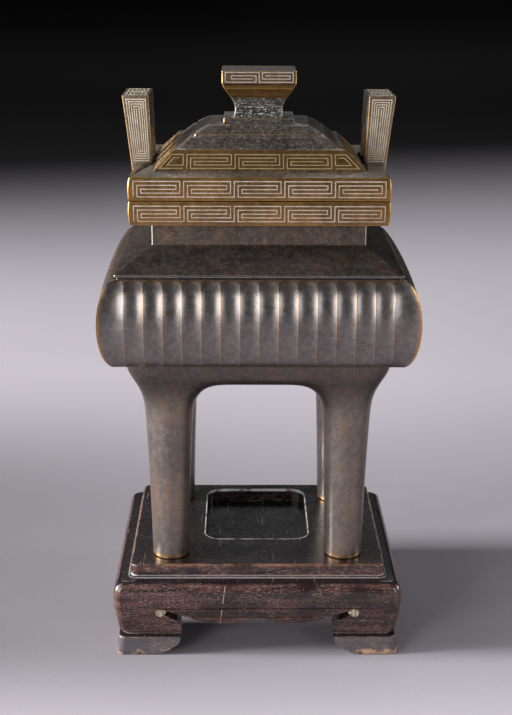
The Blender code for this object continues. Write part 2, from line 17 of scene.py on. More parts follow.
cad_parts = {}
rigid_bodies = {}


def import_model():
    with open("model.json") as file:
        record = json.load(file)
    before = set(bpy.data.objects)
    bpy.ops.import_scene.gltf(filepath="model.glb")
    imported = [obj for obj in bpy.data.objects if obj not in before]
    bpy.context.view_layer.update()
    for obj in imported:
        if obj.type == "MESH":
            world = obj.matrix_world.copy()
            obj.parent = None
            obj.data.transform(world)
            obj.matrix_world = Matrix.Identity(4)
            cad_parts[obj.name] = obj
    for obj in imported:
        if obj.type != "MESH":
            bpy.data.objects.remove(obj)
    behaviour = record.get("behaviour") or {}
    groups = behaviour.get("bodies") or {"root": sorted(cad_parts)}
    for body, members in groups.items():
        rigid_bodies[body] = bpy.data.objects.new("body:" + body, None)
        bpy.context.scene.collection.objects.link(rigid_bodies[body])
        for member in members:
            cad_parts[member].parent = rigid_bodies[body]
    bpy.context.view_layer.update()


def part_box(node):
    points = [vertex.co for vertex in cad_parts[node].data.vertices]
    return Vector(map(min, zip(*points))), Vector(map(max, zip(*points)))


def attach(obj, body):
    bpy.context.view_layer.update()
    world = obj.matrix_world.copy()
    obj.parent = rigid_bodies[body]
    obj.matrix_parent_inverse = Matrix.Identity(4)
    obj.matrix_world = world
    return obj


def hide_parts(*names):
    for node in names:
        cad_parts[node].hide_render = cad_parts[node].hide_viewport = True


bl_info = {
    "name": "Bronze censer",
    "version": (1, 0, 0),
    "blender": (4, 5, 0),
    "location": "3D View > Sidebar > Censer",
    "description": "Makes a rectangular bronze censer with cover, inlay and wood stand",
    "category": "Object",
}

for item in list(bpy.data.objects):
    bpy.data.objects.remove(item, do_unlink=True)
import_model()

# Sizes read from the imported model
VESSEL_LOW, VESSEL_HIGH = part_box("vessel")
COVER_LOW, COVER_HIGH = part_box("cover")
STAND_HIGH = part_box("stand")[1]

# Clearance between pieces that rest on each other, and how far joined forms overlap
REST_GAP = 0.0003
OVERLAP = 0.0020

# Stand, overall
STAND_HALF_X = STAND_HIGH.x
STAND_HALF_Y = STAND_HIGH.y
STAND_HEIGHT = STAND_HIGH.z
STAND_CORNER = 0.0025
STAND_BEAD = 0.0006
# Stand, raised panel, the ledge round it and the rounded shoulder below that
PANEL_MARGIN = 0.0052
PANEL_RISE = 0.0043
PANEL_EDGE = 0.0004
LEDGE_WIDTH = 0.0021
SHOULDER_DROP = 0.0042
# Stand, feet and apron
PAD_HEIGHT = 0.0058
PAD_EDGE = 0.0003
PAD_TAPER = 0.0011
WAIST_DEPTH = 0.0020
WAIST_HEIGHT = 0.0014
FOOT_TAPER = 0.0015
APRON_ROUND = 0.0005
APRON_ROUND_SHARE = 0.45
APRON_THICKNESS = 0.0070
POCKET_HEIGHT = 0.0155
POCKET_CORNER = 0.0010
FOOT_WIDTH = 0.0214
APRON_CLEAR = 0.0109
CUSP_RISE = 0.0022
CUSP_SHARE = 0.4
TIP_RISE = 0.0029
# Stand, the scroll at the inner side of each foot: its eye, and the points (across from the
# foot's inner line, below the eye) and (across, share of the pad's height) of its curve
SCROLL_EYE_RADIUS = 0.0017
SCROLL_EYE_INSET = 0.0069
SCROLL_EYE_RISE = 0.0008
SCROLL_EYE_START = 110.0
SCROLL_EYE_TURN = 270.0
SCROLL_CURVE = ((0.0036, 0.0017), (0.0016, 0.0026), (0.0005, 0.0038), (0.0, 0.0060))
PAD_CURVE = ((0.0002, 1.07), (0.0010, 0.62), (0.0040, 0.28), (0.0076, 0.0))
# Stand, dust caked in the front scroll eyes: its radius and thickness, how far behind the
# front it sits, how high and how close its lumps are, and how far apart their patterns lie
EYE_DUST_RADIUS = 0.00185
EYE_DUST_THICK = 0.0009
EYE_DUST_DEPTH = 0.0016
EYE_DUST_SWELL = 0.22
EYE_DUST_LUMPS = 1.7
EYE_DUST_APART = 5.0
# Stand, scratch down the front: how far left its top is, its lean, its top and the gap in it,
# its wander, how wide it is at full strength and in all, and where behind the front it ends
SCRATCH_X = 0.0101
SCRATCH_LEAN = 0.117
SCRATCH_TOP = 0.0235
SCRATCH_FADE = 0.0005
SCRATCH_GAP = 0.0172
SCRATCH_GAP_REACH = (0.0009, 0.0013)
SCRATCH_WANDER = 0.0003
SCRATCH_REACH = (0.00003, 0.00016)
SCRATCH_BACK_Y = (-0.0300, -0.0290)
# Stand, sunk well in the panel
WELL_HALF_X = 0.0170
WELL_FRONT_Y = -0.0130
WELL_BACK_Y = 0.0275
WELL_DEPTH = 0.0047
WELL_CORNER = 0.0050
WELL_CENTRE_Y = 0.5 * (WELL_FRONT_Y + WELL_BACK_Y)
WELL_HALF_Y = 0.5 * (WELL_BACK_Y - WELL_FRONT_Y)
# Stand, the rubbed lip of the well, painted pale as a highlight: its depth, where it fades out,
# and its width
LIP_DEPTH = 0.0010
LIP_FADE = 0.0004
LIP_OUT = 0.0001
LIP_REACH = (0.0001, 0.00032)

# Vessel, legs
LEG_X = 0.0275
LEG_Y = 0.0221
LEG_FOOT_RADIUS = 0.0059
LEG_TOP_RADIUS = 0.0079
LEG_SWELL = 1.6
LEG_LENGTH = 0.0583
LEG_RINGS = (0.89, 0.74, 0.5, 0.22, 0.03, 0.0)
LEG_SIDES = 8
CAGE_SHRINK = 0.902
CAGE_LINES = 8
FLAT_END_ANGLE = math.radians(45.0)
# Vessel, plain band between the legs and the fluted drum
BAND_HEIGHT = 0.0085
BAND_INSET = 0.0010
BAND_ROUND = 0.0038
BAND_ROUND_MIDDLE = 0.0008
BAND_ROUND_SHARE = 0.55
BAND_SEAT = 0.0012
ROOT_OUT = 0.0009
ROOT_IN_X = 0.0126
ROOT_IN_Y = 0.0112
BELLY_LINE_X = 0.0080
BELLY_LINE_Y = 0.0053
# Vessel, fluted drum
DRUM_BULGE = 0.0052
DRUM_HALF_X = VESSEL_HIGH.x - DRUM_BULGE
DRUM_HALF_Y = VESSEL_HIGH.y - DRUM_BULGE
DRUM_HEIGHT = 0.0266
DRUM_ROUNDNESS = 2.0
DRUM_SIDE_FULLNESS = 1.2
FLUTE_PITCH = 0.0056
FLUTE_ARCH = 0.0015
FLUTE_END = 0.0006
NARROWEST_FLUTE = 0.4
# Vessel, groove, shoulder, neck and rim
GROOVE_DEPTH = 0.0005
GROOVE_HEIGHT = 0.0006
LIP_OVERHANG = 0.0002
LIP_HEIGHT = 0.0006
SHOULDER_RISE = 0.0067
NECK_HALF_X = 0.0317
NECK_HALF_Y = 0.0258
NECK_HEIGHT = 0.0070
RIM_HALF_X = COVER_HIGH.x
RIM_HALF_Y = COVER_HIGH.y
RIM_HEIGHT = 0.0070
RIM_CROWN = 0.0005
RIM_CROWN_SHARE = 0.55
RIM_CROWN_UPPER = 0.4
EDGE_ROUND = 0.0004
# Vessel, hollow
WALL = 0.0030
FLOOR = 0.0040
FLOOR_DRAW = 0.0048
FLOOR_ROUND = 0.0024
HOLLOW_STRAIGHT = 0.15
HOLLOW_CORNER = 0.0050
HOLLOW_TOP_DROP = 0.4 * WALL
MOUTH_FOOT_DROP = 0.7 * WALL
# Vessel, handles
HANDLE_HALF_WIDTH = 0.0095
HANDLE_FOOT = 0.0059
HANDLE_TOP = 0.0080
HANDLE_FLARE = 1.15
HANDLE_LEAN = 0.0010
HANDLE_SETBACK = 0.0002
HANDLE_HOLE_HALF = 0.0046
HANDLE_HOLE_HEIGHT = 0.0167
HANDLE_HOLE_ROW = 0.45 * HANDLE_HOLE_HEIGHT

# Cover, flange and dome
FLANGE_HEIGHT = 0.0067
NOTCH_CLEARANCE = 0.0006
COVER_WALL = 0.0026
COVER_WALL_ASIDE = 0.8 * COVER_WALL
COVER_WALL_ABOVE = 0.9 * COVER_WALL
CAP_WALL_ASIDE = 0.4 * COVER_WALL
FLANGE_WALL_ABOVE = 0.5 * COVER_WALL
COVER_HOLLOW_CORNER = 0.0020
DOME_HALF_X = 0.0310
DOME_HALF_Y = 0.0249
LEDGE_RISE = 0.0006
SLOPE_RISE = 0.0056
SLOPE_RUN = 0.0058
STEP_WIDTH = 0.0015
STEP_RISE = 0.0002
MIDDLE_RISE = 0.0028
MIDDLE_RUN = 0.0034
CROWN_STEP = 0.0012
CROWN_EDGE = 0.0007
CROWN_RISE = 0.0021
CROWN_RUN = 0.0040
CAP_MARGIN = 0.0035
CAP_FALL = 0.0004
CAP_RISE = 0.0012
# Cover, knob
KNOB_HALF_X = 0.0112
KNOB_HALF_Y = 0.0088
KNOB_NECK_HALF_X = 0.0072
KNOB_NECK_HALF_Y = 0.0057
KNOB_HEIGHT = 0.0140
KNOB_BAND = 0.0037
KNOB_FLARE = ((0.0, 0.16), (0.12, 0.03), (0.30, 0.0), (0.48, 0.16), (0.66, 0.46), (0.84, 0.80),
              (1.0, 1.0))
KNOB_STEM_SHARE = 0.55

# Levels that follow from the sizes above
LEDGE_Z = STAND_HEIGHT - PANEL_RISE
LEG_FOOT_Z = VESSEL_LOW.z
BELLY_Z = LEG_FOOT_Z + LEG_LENGTH
DRUM_FOOT_Z = BELLY_Z + BAND_HEIGHT
DRUM_TOP_Z = DRUM_FOOT_Z + DRUM_HEIGHT
LIP_Z = DRUM_TOP_Z + GROOVE_HEIGHT
SHOULDER_Z = LIP_Z + LIP_HEIGHT
NECK_Z = SHOULDER_Z + SHOULDER_RISE
RIM_Z = NECK_Z + NECK_HEIGHT
RIM_TOP_Z = RIM_Z + RIM_HEIGHT
HANDLE_HEIGHT = VESSEL_HIGH.z - RIM_TOP_Z
COVER_Z = COVER_LOW.z
FLANGE_TOP_Z = COVER_Z + FLANGE_HEIGHT
DOME_Z = FLANGE_TOP_Z + LEDGE_RISE
MOUTH_HALF_X = NECK_HALF_X - WALL
MOUTH_HALF_Y = NECK_HALF_Y - WALL

# How finely the meshes are divided
FLUTE_STEPS = 12
DRUM_STEPS = 32
CORNER_STEPS = 3
STAND_CORNER_STEPS = 7
WELL_STEPS = 8
APRON_STEPS = 24
EYE_STEPS = 14
EYE_DUST_LEVELS = 5
SHOULDER_STEPS = 9
EASE_STEPS = 2
EASE_LIMIT = 0.45
BAND_ROWS = 6
LEG_LEVELS = 3
KNOB_ROWS = 4
BEVEL_STEPS = 2
WOOD_BEVEL_ANGLE = math.radians(50.0)
HANDLE_BEVEL_ANGLE = math.radians(30.0)
SHADING_ANGLE = math.radians(40.0)
MERGE_DISTANCE = 1e-6
THIN_EDGE = 1e-7
TINY = 1e-9

# Silver wire inlay: key fret of five levels on the bands and on the dome's lowest slope
FRET_CELL = 0.0145
FRET_STEP = 0.0011
FRET_LEVELS = 5
FRET_MARGIN = 0.0017
BAND_LEVEL = 0.00112
SLOPE_LEVEL = 0.00117
SLOPE_START = 0.0010
SLOPE_CELL = 0.0141
SLOPE_CELLS = (3, 2)
HIP_MARGIN = 0.0010
HIP_TURNS = 2
WIRE_SINK = 0.0001
WIRE_PIECE = 0.0010
# Silver wire on the knob's band
KNOB_LEVELS = 4
KNOB_LEVEL = 0.00093
KNOB_MARGIN = 0.0011
KNOB_WIRE_SHARE = 0.7
# Silver wire on the handles: spirals on the edges and tops, a border on the broad faces
HANDLE_MARGIN = 0.0011
HANDLE_LINE_FOOT = 0.0082
HANDLE_LINE_HEAD = 0.0012
HANDLE_PITCH = 0.00070
HANDLE_TURNS = 5
BORDER_MARGIN = 0.0012
BORDER_FOOT = 0.0008
BORDER_HOLE = 0.0014
BORDER_END = 0.0010
TOP_GAP = 0.0006
TOP_PITCH = 0.0011
TOP_TURNS = 3

# Worn edges: the angles between which an edge counts as worn, how far it has to lead its
# neighbours, the border laid round a flat part, the least width of such a part in borders, and
# the turn up to which faces are one flat part
WORN_FROM = math.radians(11.0)
WORN_FULL = math.radians(22.0)
CREST_FROM = 0.8
WEAR_BORDER = 0.00036
BORDERS_ACROSS = 3.0
FLAT_TURN = math.radians(0.3)

# Bronze: scales of its marks, in features to a metre, and how streaks and specks are drawn out
BLOTCH_SCALE = 70.0
PATCH_SCALE = 120.0
RUB_SCALE = 300.0
STREAK_SCALE = 420.0
MOTTLE_SCALE = 560.0
GRAIN_SCALE = 3600.0
SPECK_SCALE = 4600.0
STREAK_STRETCH = (1.0, 1.0, 0.08)
SPECK_STRETCH = (0.28, 0.28, 1.0)
BRONZE_RELIEF = 0.00005
# Soot darkened further by painted shade in inner corners, painted shade on upward faces and on the
# legs under the belly, and pale dust
CORNER_SOOT_AND_SHADE = (0.010, 0.009, 0.008)
UPWARD_PAINTED_SHADE = (0.010, 0.009, 0.009)
LEG_PAINTED_SHADE = (0.020, 0.018, 0.016)
BRONZE_DUST = (0.56, 0.55, 0.52)
BARE_METALLIC = 0.95
# Bronze legs: from where the painted shade below the belly starts to where it is full, the height
# of the rubbed ring on their feet, and how far its edge fades and wanders
LEG_SHADE = (BELLY_Z - 0.010, BELLY_Z + 0.001)
LEG_RING_Z = LEG_FOOT_Z + 0.0008
LEG_RING_FADE = 0.0008
LEG_RING_WANDER = 0.0014
# Silver: scales of its tarnish and scratches
TARNISH_SCALE = 330.0
SILVER_SCRATCH_SCALE = 2600.0
SILVER_RELIEF = 0.00003
# Wood: scales of its marks, and how the grain and the scratches are drawn out
ZONE_SCALE = 90.0
WOOD_RUB_SCALE = 240.0
FIGURE_SCALE = 520.0
WOOD_SCRATCH_SCALE = 1500.0
VEIN_SCALE = 1700.0
FIBRE_SCALE = 7000.0
BOARD_STRETCH = 0.10
WOOD_SCRATCH_TURN = (0.0, 0.4, 0.7)
WOOD_SCRATCH_STRETCH = (1.0, 0.05, 1.0)
WOOD_RELIEF = 0.00008
# Wood colours: painted shade on upward faces and in the well, grey dust with a painted sheen on
# the pads, the rubbed lip painted as a highlight, rubbed feet, dust with a painted highlight in
# inner corners, and scratches
WOOD_TOP_PAINTED_SHADE = (0.006, 0.005, 0.006)
WELL_PAINTED_SHADE = (0.004, 0.004, 0.004)
PAD_GREY_AND_SHEEN = (0.12, 0.12, 0.13)
LIP_RUB_AND_HIGHLIGHT = (0.50, 0.50, 0.53)
FOOT_BROWN = (0.40, 0.24, 0.13)
SEAM_DUST_AND_HIGHLIGHT = (0.34, 0.33, 0.35)
SCRATCH_BROWN = (0.50, 0.36, 0.24)
# Wood: how far the well's painted shade fades at its outline and above the pocket, and how far
# the pads with their painted sheen, their rubbed feet and the ledge's dust and painted highlight
# fade, in height
PIT_EDGE = 0.0001
PIT_FADE = 0.0010
PAD_FADE = 0.0004
FOOT_RUB = 0.0012
FOOT_RUB_WANDER = 0.0020
LEDGE_FADE = 0.0001
# Dust in the scroll eyes, and the paper of the floor
CRUMB_SCALE = 1800.0
CRUMB_RELIEF = 0.0002
CRUMB_SHADE = (0.050, 0.035, 0.028)
PAPER_SCALE = 1500.0
PAPER_RELIEF = 0.0001
PAPER_LIFT = (0.06, 0.06, 0.062)
# Paper: the painted shadow strip across it under the object, in Y, the painted shade to its left,
# in X, the slanted range over which painted falloff of the light turns it dark, and the range far
# behind where it lifts a little
PAINTED_SHADOW_FRONT = (-0.100, -0.025)
PAINTED_SHADOW_BACK = (0.07, 0.26)
PAINTED_LEFT_SHADE = (-0.16, 0.10)
PAINTED_FALLOFF_RANGE = (0.36, 1.02)
PAINTED_FALLOFF_SLANT = 0.27
LIFT_RANGE = (1.3, 2.6)

# Floor and the faint light all round
FLOOR_OUTLINE = ((-4.0, -1.5), (4.0, -1.5), (4.0, 7.0), (-4.0, 7.0))
ROOM_COLOUR = (0.5, 0.5, 0.55, 1.0)
ROOM_STRENGTH = 0.03
# Soft lights: place, what each one faces, size, the setting and share of its power, colour
SoftLight = namedtuple("SoftLight", "place target size power share colour")
OBJECT_MIDDLE = (0.0, 0.0, 0.09)
LIGHTS = {
    "left_side_light": SoftLight(
        (-1.15, -0.08, 0.36), OBJECT_MIDDLE, (0.24, 0.34), "key_power", 0.9, (1.0, 0.98, 0.96)),
    "high_left_light": SoftLight(
        (-0.85, -0.06, 0.95), OBJECT_MIDDLE, (0.06, 0.60), "key_power", 0.08, (1.0, 0.99, 0.98)),
    "right_side_light": SoftLight(
        (1.0, 0.06, 0.32), OBJECT_MIDDLE, (0.26, 0.30), "key_power", 0.10, (0.98, 0.98, 1.0)),
    "left_front_light": SoftLight(
        (-0.50, -0.62, 0.26), OBJECT_MIDDLE, (0.34, 0.42), "fill_power", 1.0, (1.0, 0.99, 0.97)),
    "right_front_light": SoftLight(
        (0.50, -0.62, 0.26), OBJECT_MIDDLE, (0.22, 0.42), "fill_power", 0.40, (0.98, 0.99, 1.0)),
    "high_front_light": SoftLight(
        (-0.78, -0.30, 0.56), OBJECT_MIDDLE, (0.16, 0.44), "fill_power", 0.45, (0.97, 0.98, 1.0)),
    "back_light": SoftLight(
        (0.0, 1.0, 0.95), (0.0, 0.55, 0.0), (0.9, 0.4), "top_power", 1.0, (1.0, 1.0, 1.0)),
}

# Camera, from the photograph's perspective
CAMERA_PLACE = (-0.00486, -0.40163, 0.21667)
CAMERA_TURN = -0.011
CAMERA_DROP = math.radians(17.817)
CAMERA_ROLL = 0.005
CAMERA_LENS = 65.45
CAMERA_SENSOR = 36.0
CAMERA_NEAR = 0.01


def srgb(red, green, blue):
    """A linear colour from the three 0 to 255 values of a picture."""
    shares = [value / 255.0 for value in (red, green, blue)]
    return tuple(s / 12.92 if s <= 0.04045 else ((s + 0.055) / 1.055) ** 2.4 for s in shares)


# Colours that aren't settings
WOOD_DARK = srgb(34, 22, 22)
WOOD_PORE = srgb(150, 132, 122)
WOOD_WORN = srgb(150, 104, 70)
EYE_DUST_PALE = srgb(196, 178, 154)
# Paper far behind, dark as painted falloff of the light
PAPER_FAR_SHADE = srgb(24, 24, 26)
# Silver wire of each kind: bright colour, tarnished colour and how far the tarnish shows
WIRES = {
    "silver_wire": (srgb(190, 176, 168), srgb(130, 110, 92), 0.7),
    "tarnished_wire": (srgb(176, 152, 118), srgb(118, 92, 60), 0.8),
    "knob_wire": (srgb(196, 184, 176), srgb(130, 110, 92), 0.6),
    "handle_wire": (srgb(208, 194, 172), srgb(150, 134, 112), 0.6),
}


class Value:
    """A socket of a shader. Python's operators on it add the nodes that work them out."""

    def __init__(self, paint, socket):
        self.paint = paint
        self.socket = socket

    def reckon(self, operation, *values):
        """A Math node on these values."""
        return self.paint.node("ShaderNodeMath", {"operation": operation}, dict(enumerate(values)))

    def __add__(self, other):
        return self.reckon("ADD", self, other)

    def __radd__(self, other):
        return self.reckon("ADD", other, self)

    def __sub__(self, other):
        return self.reckon("SUBTRACT", self, other)

    def __rsub__(self, other):
        return self.reckon("SUBTRACT", other, self)

    def __mul__(self, other):
        return self.reckon("MULTIPLY", self, other)

    def __rmul__(self, other):
        return self.reckon("MULTIPLY", other, self)

    def __abs__(self):
        return self.reckon("ABSOLUTE", self)

    def larger(self, other):
        """This value or the other one, whichever is larger."""
        return self.reckon("MAXIMUM", self, other)

    def root(self):
        """The square root of this value."""
        return self.reckon("SQRT", self)


class Paint:
    """A material whose shader is written as expressions on its values."""

    # The Mix node's sockets for each kind of data: its two values and its result
    MIX_SOCKETS = {"RGBA": (6, 7, 2), "VECTOR": (4, 5, 1)}

    def __init__(self, name):
        self.material = bpy.data.materials.new(name)
        self.material.use_nodes = True
        self.tree = self.material.node_tree
        self.shader = self.tree.nodes["Principled BSDF"]
        self.place = self.node("ShaderNodeTexCoord", output="Object")

    def node(self, kind, settings=None, sockets=None, output=0):
        """Add a node: its settings come first, then the values or links of its sockets."""
        node = self.tree.nodes.new(kind)
        for key, value in (settings or {}).items():
            setattr(node, key, value)
        for key, value in (sockets or {}).items():
            self.feed(node.inputs[key], value)
        return Value(self, node.outputs[output])

    def feed(self, socket, value):
        """Link a value to a socket, or set the socket's own number or colour."""
        if isinstance(value, Value):
            self.tree.links.new(value.socket, socket)
        elif socket.type == "RGBA":
            socket.default_value = (*value[:3], 1.0)
        else:
            socket.default_value = value

    def stretched(self, *scales):
        """The place on the piece, scaled along X, Y and Z."""
        return self.node("ShaderNodeVectorMath", {"operation": "MULTIPLY"},
                         {0: self.place, 1: scales})

    def axis(self, vector, name):
        """One of a vector's three numbers."""
        return self.node("ShaderNodeSeparateXYZ", None, {0: vector}, name)

    def facing(self, name):
        """How far the surface faces along one axis, from -1 to 1."""
        return self.axis(self.node("ShaderNodeNewGeometry", output="Normal"), name)

    def noise(self, scale, detail=3.0, roughness=0.5, place=None):
        """Soft noise from 0 to 1, with features of one over the scale in metres."""
        return self.node("ShaderNodeTexNoise", None,
                         {"Vector": place or self.place, "Scale": scale, "Detail": detail,
                          "Roughness": roughness})

    def between(self, value, low, high):
        """0 below the low value, 1 above the high one and smooth between them."""
        return self.node("ShaderNodeMapRange", {"interpolation_type": "SMOOTHSTEP"},
                         {0: value, 1: low, 2: high})

    def mix(self, share, first, second, kind="RGBA"):
        """A colour, or a vector, between two others."""
        low, high, result = self.MIX_SOCKETS[kind]
        return self.node("ShaderNodeMix", {"data_type": kind},
                         {0: share, low: first, high: second}, result)

    def mark(self, name):
        """A number kept at the mesh's points."""
        return self.node("ShaderNodeAttribute", {"attribute_name": name}, None, "Fac")

    def bump(self, height, distance, strength=1.0):
        """A normal from a height, whose full range is a distance in metres."""
        return self.node("ShaderNodeBump", None,
                         {"Height": height, "Distance": distance, "Strength": strength})

    def coat(self, sockets):
        """Feed the shader's sockets by name."""
        for key, value in sockets.items():
            self.feed(self.shader.inputs[key], value)
        return self.material


Patina = namedtuple(
    "Patina", "deep pale warm edge roughness metallic warmth streaks worn dust ring top")


def patina(deep, pale, warm, roughness, metallic, warmth, streaks, worn, dust, ring=0.0,
           edge=None, top=0.0):
    """The looks of one part of the casting: its colours, and how strong each mark on it is.

    Warmth is that of its warm patches, ring the height up to which it is rubbed bare, and top
    the strength of the painted shade on its upward faces. Without an edge colour it wears to
    bare bronze.
    """
    return Patina(srgb(*deep), srgb(*pale), srgb(*warm), srgb(*edge) if edge else None, roughness,
                  metallic, warmth, streaks, worn, dust, ring, top)


# Each part's deep, pale and warm colours, roughness and metallic share, and then its marks
PATINAS = {
    "drum": patina((80, 76, 76), (118, 113, 111), (128, 104, 84), 0.29, 0.74, warmth=0.12,
                   streaks=0.08, worn=1.0, dust=0.05, edge=(166, 122, 74)),
    "legs": patina((86, 80, 77), (124, 114, 108), (138, 106, 80), 0.32, 0.76, warmth=0.14,
                   streaks=0.42, worn=0.9, dust=0.08, ring=LEG_RING_Z),
    # Shoulder, neck and knob stem wear to pale grey edges: rubbing painted pale as highlight lines
    "shoulder": patina((34, 32, 31), (92, 87, 84), (128, 84, 56), 0.26, 0.70, warmth=0.50,
                       streaks=0.12, worn=0.7, dust=0.07, edge=(178, 176, 172)),
    "neck": patina((54, 50, 47), (98, 85, 74), (146, 104, 64), 0.36, 0.70, warmth=0.45,
                   streaks=0.10, worn=0.7, dust=0.14, edge=(176, 168, 156)),
    "rim": patina((78, 60, 38), (146, 112, 58), (158, 112, 54), 0.36, 0.85, warmth=0.60,
                  streaks=0.15, worn=1.0, dust=0.05),
    "ledge": patina((54, 51, 48), (136, 127, 118), (140, 108, 66), 0.32, 0.75, warmth=0.15,
                    streaks=0.45, worn=0.9, dust=0.35),
    "slope": patina((84, 66, 42), (132, 104, 62), (156, 112, 58), 0.38, 0.80, warmth=0.45,
                    streaks=0.15, worn=1.0, dust=0.05),
    "dome": patina((32, 31, 30), (118, 111, 105), (134, 104, 66), 0.32, 0.72, warmth=0.20,
                   streaks=0.15, worn=0.6, dust=0.32, top=0.6),
    "knob_band": patina((72, 60, 46), (118, 98, 74), (146, 112, 62), 0.36, 0.8, warmth=0.4,
                        streaks=0.2, worn=1.0, dust=0.10, top=0.85),
    "knob_flare": patina((88, 66, 38), (134, 102, 58), (156, 114, 56), 0.34, 0.8, warmth=0.5,
                         streaks=0.2, worn=0.9, dust=0.05),
    "knob_stem": patina((40, 39, 38), (92, 90, 88), (112, 94, 72), 0.34, 0.7, warmth=0.10,
                        streaks=0.2, worn=0.4, dust=0.85, edge=(170, 168, 164)),
    "handle": patina((72, 66, 58), (124, 113, 100), (140, 114, 84), 0.36, 0.70, warmth=0.30,
                     streaks=0.30, worn=0.9, dust=0.20, top=0.80),
    "hollow": patina((22, 20, 19), (44, 40, 37), (80, 60, 44), 0.60, 0.45, warmth=0.30,
                     streaks=0.10, worn=0.3, dust=0.05),
}


def bronze(name, look):
    """Patinated cast bronze: mottled, streaked, grained, worn bright along its edges, and darkened
    with soot and painted shade in inner corners, with painted shade on upward faces and under a
    leg's belly.
    """
    paint = Paint(name)
    blotch = paint.between(paint.noise(BLOTCH_SCALE), 0.30, 0.70)
    mottle = paint.noise(MOTTLE_SCALE, 5.0, 0.65)
    grain = paint.noise(GRAIN_SCALE, 3.0, 0.65)
    streak = paint.noise(STREAK_SCALE, 4.0, 0.6, paint.stretched(*STREAK_STRETCH))
    rub = paint.noise(RUB_SCALE, 4.0, 0.6)
    tone = 0.30 * blotch + 0.40 * paint.between(mottle, 0.30, 0.72)
    tone = tone + 0.30 * paint.between(grain, 0.30, 0.70)
    colour = paint.mix(tone, look.deep, look.pale)
    show = paint.between(streak + 0.1 * blotch, 0.50, 0.72) * look.streaks
    colour = paint.mix(show, colour, look.warm)
    patch = paint.between(paint.noise(PATCH_SCALE, 5.0, 0.7), 0.50, 0.74) * look.warmth
    colour = paint.mix(patch, colour, look.warm)
    worn = paint.between(paint.mark("wear"), 0.0, 0.6) * look.worn
    worn = worn * paint.between(rub + 0.3 * mottle, 0.34, 0.58)
    if look.ring:
        height = paint.axis(paint.place, "Z")
        # Legs painted darker towards the belly: painted shade under it
        colour = paint.mix(0.55 * paint.between(height, *LEG_SHADE), colour, LEG_PAINTED_SHADE)
        ring = 1.0 - paint.between(height - LEG_RING_WANDER * mottle,
                                   look.ring - LEG_RING_FADE, look.ring)
        worn = worn.larger(0.45 * ring)
    colour = paint.mix(worn, colour, look.edge)
    # Inner corners darkened: soot, with painted shade where parts meet
    grime = paint.mark("grime") * paint.between(rub, 0.3, 0.6)
    colour = paint.mix(0.7 * grime, colour, CORNER_SOOT_AND_SHADE)
    # Upward faces painted darker as painted shade, with the metal dulled there
    top = paint.between(paint.facing("Z"), 0.80, 0.97) * look.top
    colour = paint.mix(top, colour, UPWARD_PAINTED_SHADE)
    specks = paint.noise(SPECK_SCALE, 2.0, 0.6, paint.stretched(*SPECK_STRETCH))
    dust = paint.between(specks + 0.3 * (mottle - 0.5), 0.54, 0.64) * look.dust
    colour = paint.mix(dust, colour, BRONZE_DUST)
    rough = look.roughness + 0.14 * (mottle - 0.5) + 0.12 * (grain - 0.5) + 0.2 * dust
    bare = look.metallic + (BARE_METALLIC - look.metallic) * worn
    return paint.coat({"Base Color": colour, "Roughness": rough + 0.2 * grime,
                       "Metallic": bare * (1.0 - top),
                       "Normal": paint.bump(0.5 * mottle + 0.5 * grain, BRONZE_RELIEF, 0.5)})


def silver(name, bright, tarnish, share):
    """Silver wire, rubbed flush and partly tarnished."""
    paint = Paint(name)
    dull = paint.between(paint.noise(TARNISH_SCALE, 4.0, 0.6), 0.32, 0.66)
    scratch = paint.noise(SILVER_SCRATCH_SCALE, 3.0, 0.6)
    colour = paint.mix(share * dull, bright, tarnish)
    return paint.coat({"Base Color": colour, "Roughness": 0.40 + 0.25 * dull + 0.1 * scratch,
                       "Metallic": 0.6, "Normal": paint.bump(scratch, SILVER_RELIEF, 0.5)})


def board_grain(paint):
    """The place on the wood, drawn out along each board: along X, or Y on the two sides."""
    side = paint.between(abs(paint.facing("X")), 0.6, 0.8)
    return paint.mix(side, paint.stretched(BOARD_STRETCH, 1.0, 1.0),
                     paint.stretched(1.0, BOARD_STRETCH, 1.0), "VECTOR")


def past_well(paint):
    """How far a place is outside the well's rounded outline, in metres."""
    across = paint.axis(paint.place, "X")
    depth = paint.axis(paint.place, "Y")
    past_x = (abs(across) - (WELL_HALF_X - WELL_CORNER)).larger(0.0)
    past_y = (abs(depth - WELL_CENTRE_Y) - (WELL_HALF_Y - WELL_CORNER)).larger(0.0)
    return (past_x * past_x + past_y * past_y).root() - WELL_CORNER


def well_marks(paint, height, rub, veins):
    """How far the well within its lip is painted black as shade, and how pale the rubbed lip is
    painted as a highlight.
    """
    outside = past_well(paint)
    lip_foot = STAND_HEIGHT - LIP_DEPTH
    high = paint.between(height, lip_foot, lip_foot + LIP_FADE)
    # The well within its lip painted black as painted shade, fading out above the pocket
    well_shade = (1.0 - paint.between(outside, 0.0, PIT_EDGE)) * (1.0 - high)
    well_shade = well_shade * paint.between(height, POCKET_HEIGHT, POCKET_HEIGHT + PIT_FADE)
    # A pale line round the well's lip: rubbing, painted pale as a highlight
    lip = high * (1.0 - paint.between(abs(outside - LIP_OUT), *LIP_REACH))
    return well_shade, lip * paint.between(rub + 0.4 * veins, 0.52, 0.76)


